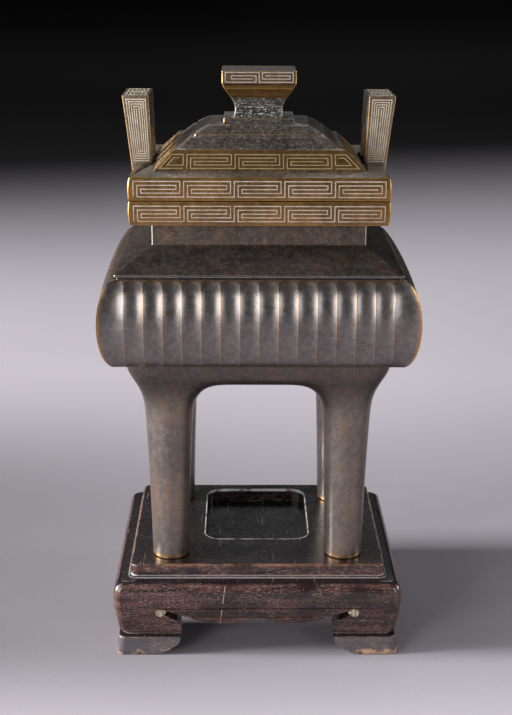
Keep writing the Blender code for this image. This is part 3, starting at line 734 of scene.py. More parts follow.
def long_scratch(paint, height, rub, veins):
    """The scratch down the stand's front, in two strokes."""
    across = paint.axis(paint.place, "X")
    lean = SCRATCH_LEAN * (SCRATCH_TOP - height)
    stroke = abs(across + SCRATCH_X + lean + SCRATCH_WANDER * rub)
    stroke = (1.0 - paint.between(stroke, *SCRATCH_REACH)) * paint.between(veins, 0.36, 0.46)
    stroke = stroke * paint.between(abs(height - SCRATCH_GAP), *SCRATCH_GAP_REACH)
    stroke = stroke * (1.0 - paint.between(height, SCRATCH_TOP, SCRATCH_TOP + SCRATCH_FADE))
    return stroke * (1.0 - paint.between(paint.axis(paint.place, "Y"), *SCRATCH_BACK_Y))


def fine_scratches(paint):
    """Short slanted scratches all over the wood."""
    place = paint.node("ShaderNodeMapping", None,
                       {"Vector": paint.place, "Rotation": WOOD_SCRATCH_TURN,
                        "Scale": WOOD_SCRATCH_STRETCH})
    return paint.between(paint.noise(WOOD_SCRATCH_SCALE, 2.0, 0.5, place), 0.68, 0.73)


def polished_wood(name, dark, red, pore, worn_colour):
    """Dark dense hardwood, waxed: short pale pores along each board, worn edges, scratches, and
    painted light: near-black painted shade on upward faces and in the well, a painted sheen on the
    pads, and painted highlights on the well's lip and the ledge step.
    """
    paint = Paint(name)
    height = paint.axis(paint.place, "Z")
    grain_place = board_grain(paint)
    figure = paint.noise(FIGURE_SCALE, 4.0, 0.65, grain_place)
    fibre = paint.noise(FIBRE_SCALE, 2.0, 0.5, grain_place)
    veins = paint.noise(VEIN_SCALE, 3.0, 0.6, grain_place)
    zone = paint.noise(ZONE_SCALE)
    rub = paint.noise(WOOD_RUB_SCALE, 4.0, 0.6)
    colour = paint.mix(paint.between(figure + 0.4 * (zone - 0.5), 0.40, 0.66), dark, red)
    colour = paint.mix(0.75 * paint.between(veins, 0.52, 0.70), colour, dark)
    # Upward faces painted near-black: painted shade
    top = paint.between(paint.facing("Z"), 0.6, 0.9)
    pores = paint.between(fibre, 0.59, 0.66) * paint.between(zone + 0.4 * figure, 0.50, 0.78)
    pores = pores * (1.0 - 0.6 * top)
    colour = paint.mix(0.50 * pores, colour, pore)
    well_shade, lip = well_marks(paint, height, rub, veins)
    worn = paint.mark("wear") * paint.between(rub + 0.3 * figure, 0.50, 0.76)
    low = 1.0 - paint.between(height - FOOT_RUB_WANDER * rub, 0.0, FOOT_RUB)
    foot = low * paint.between(rub, 0.44, 0.60)
    # Pads greyed: dust and a painted sheen
    pad = 1.0 - paint.between(height, PAD_HEIGHT - PAD_FADE, PAD_HEIGHT + PAD_FADE)
    # Pale dust in inner corners, laid on thicker at the ledge step as a painted highlight line
    step = paint.between(height, LEDGE_Z - LEDGE_FADE, LEDGE_Z + LEDGE_FADE)
    dust = paint.mark("grime") * paint.between(rub + 0.3 * step, 0.42, 0.7)
    scratch = fine_scratches(paint)
    for share, shade in (
            (0.9 * top, WOOD_TOP_PAINTED_SHADE),
            (0.85 * well_shade, WELL_PAINTED_SHADE),
            (0.40 * pad, PAD_GREY_AND_SHEEN),
            (0.7 * worn, worn_colour),
            (0.8 * lip, LIP_RUB_AND_HIGHLIGHT),
            (0.9 * foot, FOOT_BROWN),
            ((0.35 + 0.4 * step) * dust, SEAM_DUST_AND_HIGHLIGHT),
            (0.30 * scratch, pore),
            (0.8 * long_scratch(paint, height, rub, veins), SCRATCH_BROWN)):
        colour = paint.mix(share, colour, shade)
    rough = 0.17 + 0.12 * paint.noise(FIGURE_SCALE, 4.0, 0.6) + 0.25 * pores + 0.15 * scratch
    relief = 1.0 - 0.8 * pores - 0.3 * scratch + 0.3 * veins
    return paint.coat({"Base Color": colour, "Roughness": rough + 0.2 * worn + 0.3 * foot,
                       "Normal": paint.bump(relief, WOOD_RELIEF, 0.6)})


def dry_dust(name, colour):
    """Pale dust caked in a hollow."""
    paint = Paint(name)
    crumb = paint.noise(CRUMB_SCALE, 5.0, 0.7)
    tone = paint.mix(paint.between(crumb, 0.35, 0.62), CRUMB_SHADE, colour)
    return paint.coat({"Base Color": tone, "Roughness": 0.85 + 0.1 * crumb,
                       "Normal": paint.bump(crumb, CRUMB_RELIEF, 0.9)})


def backdrop_paper(name, near, far):
    """Matt paper with painted light: a painted shadow strip under the object, painted shade to its
    left, and a painted falloff to dark well behind it.
    """
    paint = Paint(name)
    across = paint.axis(paint.place, "X")
    depth = paint.axis(paint.place, "Y")
    fibre = paint.noise(PAPER_SCALE, 4.0, 0.7)
    # Painted shadow of the object across the paper, and painted shade on its left
    painted_shadow = paint.between(depth, *PAINTED_SHADOW_FRONT) * (1.0 - paint.between(depth, *PAINTED_SHADOW_BACK))
    left = 1.0 - paint.between(across, *PAINTED_LEFT_SHADE)
    # Painted falloff: the paper turns dark further back, lifting a little far behind
    lift = paint.mix(paint.between(depth, *LIFT_RANGE), far, PAPER_LIFT)
    tone = paint.mix(paint.between(depth - PAINTED_FALLOFF_SLANT * across, *PAINTED_FALLOFF_RANGE), near, lift)
    shade = 0.20 * (fibre - 0.5) + 0.03 + (0.36 + 0.10 * left) * painted_shadow + 0.20 * left
    colour = paint.mix(shade, tone, (0.0, 0.0, 0.0))
    return paint.coat({"Base Color": colour, "Roughness": 0.95, "Specular IOR Level": 0.05,
                       "Normal": paint.bump(fibre, PAPER_RELIEF, 0.15)})


def finish_mesh(name, bm):
    """Close a bmesh into a mesh whose faces point outwards."""
    bmesh.ops.recalc_face_normals(bm, faces=bm.faces)
    mesh = bpy.data.meshes.new(name)
    bm.to_mesh(mesh)
    bm.free()
    return mesh


def rounded_rectangle(half_x, half_y, radius, steps, centre=(0.0, 0.0)):
    """Points of a rectangle with round corners, anticlockwise from the +X +Y corner."""
    points = []
    for corner, (side_x, side_y) in enumerate(((1, 1), (-1, 1), (-1, -1), (1, -1))):
        for step in range(steps + 1):
            angle = math.radians(90.0 * (corner + step / max(steps, 1)))
            x = side_x * (half_x - radius) + radius * math.cos(angle)
            y = side_y * (half_y - radius) + radius * math.sin(angle)
            points.append((centre[0] + x, centre[1] + y))
    return points


def loft(name, rings):
    """A closed body through rings of equally many points, with flat ends."""
    bm = bmesh.new()
    rows = [[bm.verts.new(point) for point in ring] for ring in rings]
    count = len(rings[0])
    for lower, upper in zip(rows, rows[1:]):
        for index in range(count):
            after = (index + 1) % count
            bm.faces.new((lower[index], lower[after], upper[after], upper[index]))
    bm.faces.new(rows[0])
    bm.faces.new(rows[-1])
    return finish_mesh(name, bm)


def stack(name, levels, radius, steps):
    """A closed body from (half_x, half_y, z) levels of one rounded rectangle."""
    rings = []
    for half_x, half_y, z in levels:
        outline = rounded_rectangle(half_x, half_y, radius, steps)
        rings.append([(x, y, z) for x, y in outline])
    return loft(name, rings)


def prism(name, outline, axis, low, high):
    """A closed body from a flat outline, drawn out along X, Y or Z."""
    def place(first, second, along):
        if axis == "X":
            return (along, first, second)
        if axis == "Y":
            return (first, along, second)
        return (first, second, along)

    rings = [[place(a, b, along) for a, b in outline] for along in (low, high)]
    return loft(name, rings)


def towards(corner, other, reach):
    """The point a reach from a corner to the next one, but always short of halfway."""
    length = max((other - corner).length, TINY)
    return corner + (other - corner) * min(EASE_LIMIT, reach / length)


def eased(levels, reach):
    """A profile with each inner corner rounded off over a reach to both sides."""
    points = [Vector(level) for level in levels]
    smooth = [points[0]]
    for before, corner, after in zip(points, points[1:], points[2:]):
        start = towards(corner, before, reach)
        end = towards(corner, after, reach)
        for step in range(EASE_STEPS + 1):
            share = step / EASE_STEPS
            smooth.append(start.lerp(corner, share).lerp(corner.lerp(end, share), share))
    smooth.append(points[-1])
    return [tuple(point) for point in smooth]


def make_form(name, mesh, *materials):
    """An object in the scene for a mesh, with its materials."""
    item = bpy.data.objects.new(name, mesh)
    bpy.context.scene.collection.objects.link(item)
    for material in materials:
        mesh.materials.append(material)
    return item


def make_zoned(name, mesh, zones, bronzes):
    """A form whose faces have the bronze of their zone, listed from the foot as (top, name)."""
    for face in mesh.polygons:
        height = face.center.z
        face.material_index = min(i for i, (top, _) in enumerate(zones) if height < top)
    return make_form(name, mesh, *(bronzes[part] for _, part in zones))


def join_forms(target, tools):
    """Join or cut the target with each (tool, operation), and keep every tool's material."""
    for tool, operation in tools:
        modifier = target.modifiers.new(tool.name, "BOOLEAN")
        modifier.operation = operation
        modifier.solver = "EXACT"
        modifier.material_mode = "TRANSFER"
        modifier.object = tool
    settle(target)
    for tool, _ in tools:
        bpy.data.objects.remove(tool, do_unlink=True)


def settle(item):
    """Make an object's modifiers part of its mesh."""
    graph = bpy.context.evaluated_depsgraph_get()
    mesh = bpy.data.meshes.new_from_object(item.evaluated_get(graph))
    item.modifiers.clear()
    item.data = mesh
    mesh.name = item.name


def share_between(value, low, high):
    """How far a value is from the low to the high one, from 0 to 1."""
    return min(1.0, max(0.0, (value - low) / (high - low)))


def flat_faces(bm):
    """The flat parts of a mesh that are wide enough for a border, as lists of faces."""
    seen = set()
    flats = []
    for face in bm.faces:
        if face in seen:
            continue
        seen.add(face)
        group, waiting = [face], [face]
        while waiting:
            for edge in waiting.pop().edges:
                if edge.calc_face_angle(math.pi) > FLAT_TURN:
                    continue
                for other in edge.link_faces:
                    if other not in seen:
                        seen.add(other)
                        group.append(other)
                        waiting.append(other)
        members = set(group)
        border = {edge for face in group for edge in face.edges
                  if sum(other in members for other in edge.link_faces) == 1}
        width = 2.0 * sum(f.calc_area() for f in group) / sum(e.calc_length() for e in border)
        if width > BORDERS_ACROSS * WEAR_BORDER:
            flats.append(group)
    return flats


def mark_edges(mesh):
    """Keep at each point how far it is a worn outer edge or an inner corner, which the bronze
    darkens with soot and painted shade and the wood fills with dust and a painted highlight.
    """
    bm = bmesh.new()
    bm.from_mesh(mesh)
    bmesh.ops.remove_doubles(bm, verts=bm.verts, dist=MERGE_DISTANCE)
    bmesh.ops.dissolve_degenerate(bm, edges=bm.edges, dist=THIN_EDGE)
    for group in flat_faces(bm):
        bmesh.ops.inset_region(bm, faces=group, thickness=WEAR_BORDER, use_even_offset=True)
    bm.verts.index_update()
    angles = [[edge.calc_face_angle_signed(0.0) for edge in vert.link_edges] for vert in bm.verts]
    for name, sign in (("wear", 1.0), ("grime", -1.0)):
        turn = [max([0.0] + [sign * angle for angle in around]) for around in angles]
        layer = bm.verts.layers.float.new(name)
        for vert in bm.verts:
            own = turn[vert.index]
            lead = max([own] + [turn[edge.other_vert(vert).index] for edge in vert.link_edges])
            crest = share_between(own / lead, CREST_FROM, 1.0) if lead > WORN_FROM else 0.0
            vert[layer] = crest * share_between(own, WORN_FROM, WORN_FULL)
    bm.to_mesh(mesh)
    bm.free()


def lay_on_model(item, node=None):
    """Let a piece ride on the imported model, and take the place of a node of it."""
    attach(item, "root")
    if node:
        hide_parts(node)


def finish_piece(item, node):
    """Mark, shade and settle a piece that takes the place of a node."""
    mark_edges(item.data)
    item.data.shade_smooth()
    item.data.set_sharp_from_angle(angle=SHADING_ANGLE)
    weight = item.modifiers.new("even shading", "WEIGHTED_NORMAL")
    weight.keep_sharp = True
    settle(item)
    lay_on_model(item, node)


def round_edges(item, reach, angle):
    """Round the edges of a form that turn by more than an angle."""
    bevel = item.modifiers.new("worn edges", "BEVEL")
    bevel.width = reach
    bevel.segments = BEVEL_STEPS
    bevel.limit_method = "ANGLE"
    bevel.angle_limit = angle


def stand_profile(reach):
    """The stand's side as (inset from its widest line, height), from the ground up."""
    waist_top = PAD_HEIGHT + WAIST_HEIGHT
    foot_top = waist_top + STAND_BEAD
    shoulder = LEDGE_Z - SHOULDER_DROP
    belly = foot_top + APRON_ROUND_SHARE * (shoulder - foot_top)
    ledge_inner = PANEL_MARGIN - STAND_BEAD
    ledge_outer = ledge_inner - LEDGE_WIDTH
    profile = [
        (PAD_EDGE + reach, 0.0),
        (PAD_EDGE, reach),
        (PAD_TAPER, PAD_HEIGHT),
        (WAIST_DEPTH + STAND_BEAD, PAD_HEIGHT + STAND_BEAD),
        (WAIST_DEPTH + STAND_BEAD, waist_top),
        (FOOT_TAPER, foot_top),
        (APRON_ROUND, belly),
        (0.0, 0.5 * (belly + shoulder)),
        (0.0, shoulder),
    ]
    for step in range(1, SHOULDER_STEPS + 1):
        angle = 0.5 * math.pi * step / SHOULDER_STEPS
        profile.append((ledge_outer * (1.0 - math.cos(angle)),
                        shoulder + SHOULDER_DROP * math.sin(angle)))
    return profile + [
        (ledge_inner, LEDGE_Z),
        (PANEL_MARGIN, LEDGE_Z + STAND_BEAD),
        (PANEL_MARGIN, STAND_HEIGHT - PANEL_EDGE),
        (PANEL_MARGIN + PANEL_EDGE, STAND_HEIGHT),
    ]


def apron_outline(half_width):
    """The opening between two scroll feet, from below the ground up to the cusped apron."""
    inner = half_width - FOOT_WIDTH
    eye_x = inner + SCROLL_EYE_INSET
    eye_z = APRON_CLEAR + TIP_RISE + SCROLL_EYE_RISE
    half = [(0.0, APRON_CLEAR + CUSP_RISE)]
    for step in range(1, APRON_STEPS + 1):
        share = step / APRON_STEPS
        if share <= CUSP_SHARE:
            rise = CUSP_RISE * (1.0 - share / CUSP_SHARE) ** 2
        else:
            rise = TIP_RISE * ((share - CUSP_SHARE) / (1.0 - CUSP_SHARE)) ** 2
        half.append((share * inner, APRON_CLEAR + rise))
    for step in range(EYE_STEPS):
        angle = math.radians(SCROLL_EYE_START - SCROLL_EYE_TURN * step / (EYE_STEPS - 1))
        half.append((eye_x + SCROLL_EYE_RADIUS * math.cos(angle),
                     eye_z + SCROLL_EYE_RADIUS * math.sin(angle)))
    half += [(inner + across, eye_z - below) for across, below in SCROLL_CURVE]
    half += [(inner + across, share * PAD_HEIGHT) for across, share in PAD_CURVE]
    half.append((inner + PAD_CURVE[-1][0], -OVERLAP))
    mirrored = [(-x, z) for x, z in reversed(half[1:])]
    return half + mirrored


def make_stand(reach, material):
    """The stand: a raised panel on a bulging apron with four scroll feet, and a sunk well."""
    levels = []
    for inset, z in eased(stand_profile(reach), reach):
        levels.append((STAND_HALF_X - inset, STAND_HALF_Y - inset, z))
    stand = make_form("wood_stand", stack("wood_stand", levels, STAND_CORNER, STAND_CORNER_STEPS),
                      material)
    far = STAND_HALF_X + STAND_HALF_Y
    pocket_outline = rounded_rectangle(
        STAND_HALF_X - APRON_THICKNESS, STAND_HALF_Y - APRON_THICKNESS, POCKET_CORNER, 1)
    well_outline = rounded_rectangle(
        WELL_HALF_X, WELL_HALF_Y, WELL_CORNER, WELL_STEPS, (0.0, WELL_CENTRE_Y))
    well_floor = STAND_HEIGHT - WELL_DEPTH
    cutters = [
        prism("cut_front_back", apron_outline(STAND_HALF_X), "Y", -far, far),
        prism("cut_sides", apron_outline(STAND_HALF_Y), "X", -far, far),
        prism("cut_pocket", pocket_outline, "Z", -OVERLAP, POCKET_HEIGHT),
        prism("cut_well", well_outline, "Z", well_floor, STAND_HEIGHT + OVERLAP),
    ]
    join_forms(stand, [(make_form(mesh.name, mesh, material), "DIFFERENCE") for mesh in cutters])
    round_edges(stand, reach, WOOD_BEVEL_ANGLE)
    settle(stand)
    finish_piece(stand, "stand")


def make_eye_dust(material):
    """Lumps of pale dust caked in the two front scroll eyes."""
    bm = bmesh.new()
    eye_x = STAND_HALF_X - FOOT_WIDTH + SCROLL_EYE_INSET
    eye_z = APRON_CLEAR + TIP_RISE + SCROLL_EYE_RISE
    for side in (-1, 1):
        made = bmesh.ops.create_icosphere(bm, subdivisions=EYE_DUST_LEVELS, radius=1.0)["verts"]
        apart = Vector((EYE_DUST_APART * side, 0.0, 0.0))
        for vert in made:
            lumps = noise.fractal(EYE_DUST_LUMPS * vert.co + apart, 1.0, 2.0, 4)
            swell = 1.0 + EYE_DUST_SWELL * lumps
            vert.co = Vector((side * eye_x + EYE_DUST_RADIUS * swell * vert.co.x,
                              EYE_DUST_DEPTH - STAND_HALF_Y + EYE_DUST_THICK * swell * vert.co.y,
                              eye_z + EYE_DUST_RADIUS * swell * vert.co.z))
    dust = make_form("eye_dust", finish_mesh("eye_dust", bm), material)
    lay_on_model(dust)


def drum_profile(share, fullness=0.0):
    """The drum's bulge and height at a share of its height from -1 to 1."""
    roundness = DRUM_ROUNDNESS + fullness
    bulge = DRUM_BULGE * (1.0 - abs(share) ** roundness) ** (1.0 / roundness)
    return bulge, DRUM_FOOT_Z + 0.5 * DRUM_HEIGHT * (1.0 + share)


def flute_cut(across, share, width, depth):
    """How deep a flute is, across it from -1 to 1 and at a share of the drum's height."""
    from_top = 0.5 * DRUM_HEIGHT * (1.0 - share)
    arch = FLUTE_ARCH * (1.0 - math.sqrt(max(0.0, 1.0 - across * across)))
    fade_top = share_between(from_top, arch, arch + FLUTE_END)
    fade_foot = share_between(0.5 * DRUM_HEIGHT * (1.0 + share), 0.0, FLUTE_END)
    breadth = min(1.0, width / FLUTE_PITCH)
    return depth * (1.0 - across * across) * fade_top * fade_foot * breadth


def flute_part(share, first, last):
    """Places across a flute that crowd towards its arrises, but not towards a mitre."""
    if first:
        return math.sin(0.5 * math.pi * share)
    if last:
        return 1.0 - math.cos(0.5 * math.pi * share)
    return 0.5 - 0.5 * math.cos(math.pi * share)


def flute_edges(half, bulge):
    """The arrises along one side of the drum, from mitre to mitre."""
    inside = int((half - NARROWEST_FLUTE * FLUTE_PITCH) / FLUTE_PITCH)
    edges = [FLUTE_PITCH * index for index in range(-inside, inside + 1)]
    return [-half - bulge] + edges + [half + bulge]


def turned(side, run, out, z):
    """The point a run along and a way out from one of four sides, 0 being the front."""
    angle = 0.5 * math.pi * side
    cos, sin = round(math.cos(angle)), round(math.sin(angle))
    return (cos * run + sin * out, sin * run - cos * out, z)


def side_sizes(side, half_x, half_y):
    """Half the length of a side, and how far out it stands."""
    return (half_x, half_y) if side % 2 == 0 else (half_y, half_x)


def drum_ring(share, depth):
    """One ring of the fluted drum, anticlockwise from its front left mitre."""
    ring = []
    bulge, z = drum_profile(share)
    for side in range(4):
        half, out = side_sizes(side, DRUM_HALF_X, DRUM_HALF_Y)
        edges = flute_edges(half, bulge)
        for start, end in zip(edges, edges[1:]):
            for step in range(FLUTE_STEPS):
                part = flute_part(step / FLUTE_STEPS, start == edges[0], end == edges[-1])
                cut = flute_cut(2.0 * part - 1.0, share, end - start, depth)
                run = start + part * (end - start)
                fullness = DRUM_SIDE_FULLNESS * (side % 2) * (1.0 - (run / (half + bulge)) ** 2)
                swell = drum_profile(share, fullness)[0]
                ring.append(turned(side, run, out + swell - cut, z))
    return ring


def drum_mesh(depth):
    """The pillow-shaped drum with a row of upright flutes on every side."""
    rings = []
    for step in range(DRUM_STEPS + 1):
        rings.append(drum_ring(-math.cos(math.pi * step / DRUM_STEPS), depth))
    return loft("drum", rings)


def crown_off(height, full):
    """How far a crowned band is set back from its widest line, at a height on it."""
    widest = RIM_CROWN_SHARE * full
    if height < widest:
        return RIM_CROWN * (1.0 - height / widest) ** 2
    return RIM_CROWN_UPPER * RIM_CROWN * ((height - widest) / (full - widest)) ** 2


def rim_off(height):
    """How far the rim's band is set back at a height on it. It is widest near its top."""
    return crown_off(height, RIM_HEIGHT)


def flange_off(height):
    """How far the cover's flange is set back at a height on it. It is widest near its foot."""
    return crown_off(FLANGE_HEIGHT - height, FLANGE_HEIGHT)


def band_levels(foot_z, full, off):
    """A crowned band as (half_x, half_y, z), from its foot up."""
    levels = []
    for row in range(BAND_ROWS + 1):
        height = full * row / BAND_ROWS
        levels.append((RIM_HALF_X - off(height), RIM_HALF_Y - off(height), foot_z + height))
    return levels


def make_upper(reach, bronzes):
    """Groove, lip, sloping shoulder, neck and rim above the drum."""
    inside = (DRUM_HALF_X - GROOVE_DEPTH, DRUM_HALF_Y - GROOVE_DEPTH)
    lip = (DRUM_HALF_X + LIP_OVERHANG, DRUM_HALF_Y + LIP_OVERHANG)
    levels = [
        (*inside, DRUM_TOP_Z - OVERLAP),
        (*inside, LIP_Z),
        (*lip, LIP_Z),
        (*lip, SHOULDER_Z),
        (NECK_HALF_X, NECK_HALF_Y, NECK_Z),
        (NECK_HALF_X, NECK_HALF_Y, RIM_Z),
    ]
    rim = band_levels(RIM_Z, RIM_HEIGHT, rim_off)
    top = (rim[-1][0] - OVERLAP, rim[-1][1] - OVERLAP, RIM_TOP_Z)
    name = "shoulder_and_rim"
    mesh = stack(name, eased(levels + rim + [top], reach), EDGE_ROUND, CORNER_STEPS)
    zones = ((NECK_Z - reach, "shoulder"), (RIM_Z - 0.5 * reach, "neck"), (math.inf, "rim"))
    return make_zoned(name, mesh, zones, bronzes)


def leg_radius(share):
    """A leg's radius at a share of its length from the foot."""
    return LEG_FOOT_RADIUS + (LEG_TOP_RADIUS - LEG_FOOT_RADIUS) * share ** LEG_SWELL


def belly_lines(*half):
    """Cage lines of the belly along one axis, from one side to the other."""
    return [-value for value in half] + list(reversed(half))


def belly_grids(bm):
    """The belly's cage points in three levels, as {(column, row): point}."""
    top_x, top_y = DRUM_HALF_X - BAND_INSET, DRUM_HALF_Y - BAND_INSET
    last = CAGE_LINES - 1
    grids = []
    for z, drawn_in in ((BELLY_Z, BAND_ROUND),
                        (BELLY_Z + BAND_ROUND_SHARE * BAND_HEIGHT, BAND_ROUND_MIDDLE),
                        (DRUM_FOOT_Z + BAND_SEAT, 0.0)):
        xs = belly_lines(top_x - drawn_in, LEG_X - ROOT_OUT, LEG_X - ROOT_IN_X, BELLY_LINE_X)
        ys = belly_lines(top_y - drawn_in, LEG_Y - ROOT_OUT, LEG_Y - ROOT_IN_Y, BELLY_LINE_Y)
        grid = {}
        for column, x in enumerate(xs):
            for row, y in enumerate(ys):
                if z == BELLY_Z or column in (0, last) or row in (0, last):
                    grid[column, row] = bm.verts.new((x, y, z))
        grids.append(grid)
    return grids


def legs_cage():
    """A coarse cage of the belly between the legs and of the four legs, for subdivision."""
    bm = bmesh.new()
    grids = belly_grids(bm)
    last = CAGE_LINES - 1
    outline = [(c, 0) for c in range(last)] + [(last, r) for r in range(last)]
    outline += [(c, last) for c in range(last, 0, -1)] + [(0, r) for r in range(last, 0, -1)]
    for lower, upper in zip(grids, grids[1:]):
        for here, there in zip(outline, outline[1:] + outline[:1]):
            bm.faces.new((lower[here], lower[there], upper[there], upper[here]))
    bm.faces.new([grids[-1][key] for key in outline])
    belly = grids[0]
    leg_lines = (0, 1, last - 2, last - 1)
    for column in range(last):
        for row in range(last):
            if column in leg_lines and row in leg_lines:
                continue
            corners = ((0, 0), (1, 0), (1, 1), (0, 1))
            bm.faces.new([belly[column + dc, row + dr] for dc, dr in corners])
    around = ((2, 2), (1, 2), (0, 2), (0, 1), (0, 0), (1, 0), (2, 0), (2, 1))
    for column, side_x in ((0, -1), (last - 2, 1)):
        for row, side_y in ((0, -1), (last - 2, 1)):
            ring = [belly[column + dc, row + dr] for dc, dr in around]
            add_leg(bm, ring, side_x * LEG_X, side_y * LEG_Y)
            bm.verts.remove(belly[column + 1, row + 1])
    return bm


def add_leg(bm, ring, centre_x, centre_y):
    """Draw one leg down from its ring in the belly to a flat round foot."""
    for share in LEG_RINGS:
        z = LEG_FOOT_Z + share * LEG_LENGTH
        radius = leg_radius(share) / CAGE_SHRINK
        lower = []
        for index in range(LEG_SIDES):
            angle = 2.0 * math.pi * (index + 1) / LEG_SIDES
            x = centre_x + radius * math.cos(angle)
            y = centre_y + radius * math.sin(angle)
            lower.append(bm.verts.new((x, y, z)))
        for index in range(LEG_SIDES):
            after = (index + 1) % LEG_SIDES
            bm.faces.new((ring[index], ring[after], lower[after], lower[index]))
        ring = lower
    middle = bm.verts.new((centre_x, centre_y, LEG_FOOT_Z))
    for index in range(0, LEG_SIDES, 2):
        bm.faces.new((ring[index], ring[index + 1], ring[(index + 2) % LEG_SIDES], middle))


def legs_mesh():
    """The cage of the belly and legs, with the edges of its flat ends creased."""
    bm = legs_cage()
    bmesh.ops.recalc_face_normals(bm, faces=bm.faces)
    crease = bm.edges.layers.float.new("crease_edge")
    for edge in bm.edges:
        heights = [vert.co.z for vert in edge.verts]
        for flat_end in (DRUM_FOOT_Z + BAND_SEAT, LEG_FOOT_Z):
            at_end = all(abs(z - flat_end) < 0.5 * REST_GAP for z in heights)
            if at_end and edge.calc_face_angle() > FLAT_END_ANGLE:
                edge[crease] = 1.0
    return finish_mesh("belly_and_legs", bm)


def cavity_mesh():
    """The hollow of the vessel, from its floor up through the mouth."""
    bulge, drum_z = drum_profile(0.0)
    wide_x = DRUM_HALF_X + bulge - WALL - EDGE_ROUND
    wide_y = DRUM_HALF_Y + bulge - WALL - EDGE_ROUND
    low_x, low_y = DRUM_HALF_X - WALL, DRUM_HALF_Y - WALL
    floor_z = BELLY_Z + FLOOR
    levels = [
        (low_x - FLOOR_DRAW, low_y - FLOOR_DRAW, floor_z),
        (low_x - FLOOR_ROUND, low_y - FLOOR_ROUND, floor_z + FLOOR_ROUND),
        (low_x, low_y, DRUM_FOOT_Z + WALL),
        (wide_x, wide_y, drum_z - HOLLOW_STRAIGHT * DRUM_HEIGHT),
        (wide_x, wide_y, drum_z + HOLLOW_STRAIGHT * DRUM_HEIGHT),
        (low_x, low_y, DRUM_TOP_Z - HOLLOW_TOP_DROP),
        (MOUTH_HALF_X, MOUTH_HALF_Y, NECK_Z - MOUTH_FOOT_DROP),
        (MOUTH_HALF_X, MOUTH_HALF_Y, RIM_TOP_Z + OVERLAP),
    ]
    return stack("cavity", levels, HOLLOW_CORNER, STAND_CORNER_STEPS)


def handle_faces(share):
    """A handle's inner and outer faces in X, at a share of its height."""
    inner = RIM_HALF_X - HANDLE_SETBACK - HANDLE_FOOT + HANDLE_LEAN * share
    thickness = HANDLE_FOOT + (HANDLE_TOP - HANDLE_FOOT) * share ** HANDLE_FLARE
    return inner, inner + thickness


def handle_mesh(side):
    """An upright handle: a slab with an opening through it, leaning outwards."""
    ys = (-HANDLE_HALF_WIDTH, -HANDLE_HOLE_HALF, HANDLE_HOLE_HALF, HANDLE_HALF_WIDTH)
    heights = (-OVERLAP, HANDLE_HOLE_ROW, HANDLE_HOLE_HEIGHT,
               0.5 * (HANDLE_HOLE_HEIGHT + HANDLE_HEIGHT), HANDLE_HEIGHT)
    bm = bmesh.new()
    layers = []
    for face in (0, 1):
        layer = {}
        for row, height in enumerate(heights):
            x = side * handle_faces(max(0.0, height / HANDLE_HEIGHT))[face]
            for column, y in enumerate(ys):
                layer[column, row] = bm.verts.new((x, y, RIM_TOP_Z + height))
        layers.append(layer)
    cells = [(column, row) for column in range(3) for row in range(4)
             if not (column == 1 and row < 2)]
    open_edges = set()
    for column, row in cells:
        corners = [(column, row), (column + 1, row), (column + 1, row + 1), (column, row + 1)]
        for layer in layers:
            bm.faces.new([layer[key] for key in corners])
        for start, end in zip(corners, corners[1:] + corners[:1]):
            if (end, start) in open_edges:
                open_edges.remove((end, start))
            else:
                open_edges.add((start, end))
    for start, end in sorted(open_edges):
        bm.faces.new((layers[0][start], layers[0][end], layers[1][end], layers[1][start]))
    loose = [vert for vert in bm.verts if not vert.link_faces]
    bmesh.ops.delete(bm, geom=loose, context="VERTS")
    return finish_mesh("handle", bm)


def make_vessel(sizes, bronzes):
    """The vessel, cast in one: drum, legs, shoulder, rim and handles, hollow inside."""
    vessel = make_form("bronze_vessel", drum_mesh(sizes.flute_depth), bronzes["drum"])
    legs = make_form("belly_and_legs", legs_mesh(), bronzes["legs"])
    rounding = legs.modifiers.new("rounding", "SUBSURF")
    rounding.levels = LEG_LEVELS
    rounding.render_levels = LEG_LEVELS
    tools = [(legs, "UNION"), (make_upper(sizes.edge_reach, bronzes), "UNION")]
    for name, side in (("handle_left", -1), ("handle_right", 1)):
        handle = make_form(name, handle_mesh(side), bronzes["handle"])
        round_edges(handle, sizes.edge_reach, HANDLE_BEVEL_ANGLE)
        tools.append((handle, "UNION"))
    cavity = make_form("cavity", cavity_mesh(), bronzes["hollow"])
    tools.append((cavity, "DIFFERENCE"))
    join_forms(vessel, tools)
    finish_piece(vessel, "vessel")


def dome_levels():
    """The cover's dome as (half_x, half_y, z), from the ledge up to the foot of the knob."""
    slope_x = DOME_HALF_X - SLOPE_RUN
    middle_x = slope_x - STEP_WIDTH
    middle_top_x = middle_x - MIDDLE_RUN
    crown_x = middle_top_x - CROWN_STEP
    slope_z = DOME_Z + SLOPE_RISE
    middle_z = slope_z + STEP_RISE
    middle_top_z = middle_z + MIDDLE_RISE
    crown_z = middle_top_z + STEP_RISE
    crown_top_z = crown_z + CROWN_EDGE + CROWN_RISE
    cap_x = KNOB_NECK_HALF_X + CAP_MARGIN
    pairs = [
        (DOME_HALF_X, DOME_Z),
        (slope_x, slope_z),
        (middle_x, middle_z),
        (middle_top_x, middle_top_z),
        (crown_x, crown_z),
        (crown_x, crown_z + CROWN_EDGE),
        (crown_x - CROWN_RUN, crown_top_z),
        (cap_x, crown_top_z + CAP_FALL),
        (cap_x, crown_top_z + CAP_FALL + CAP_RISE),
    ]
    ratio = DOME_HALF_Y / DOME_HALF_X
    return [(x, ratio * x, z) for x, z in pairs]


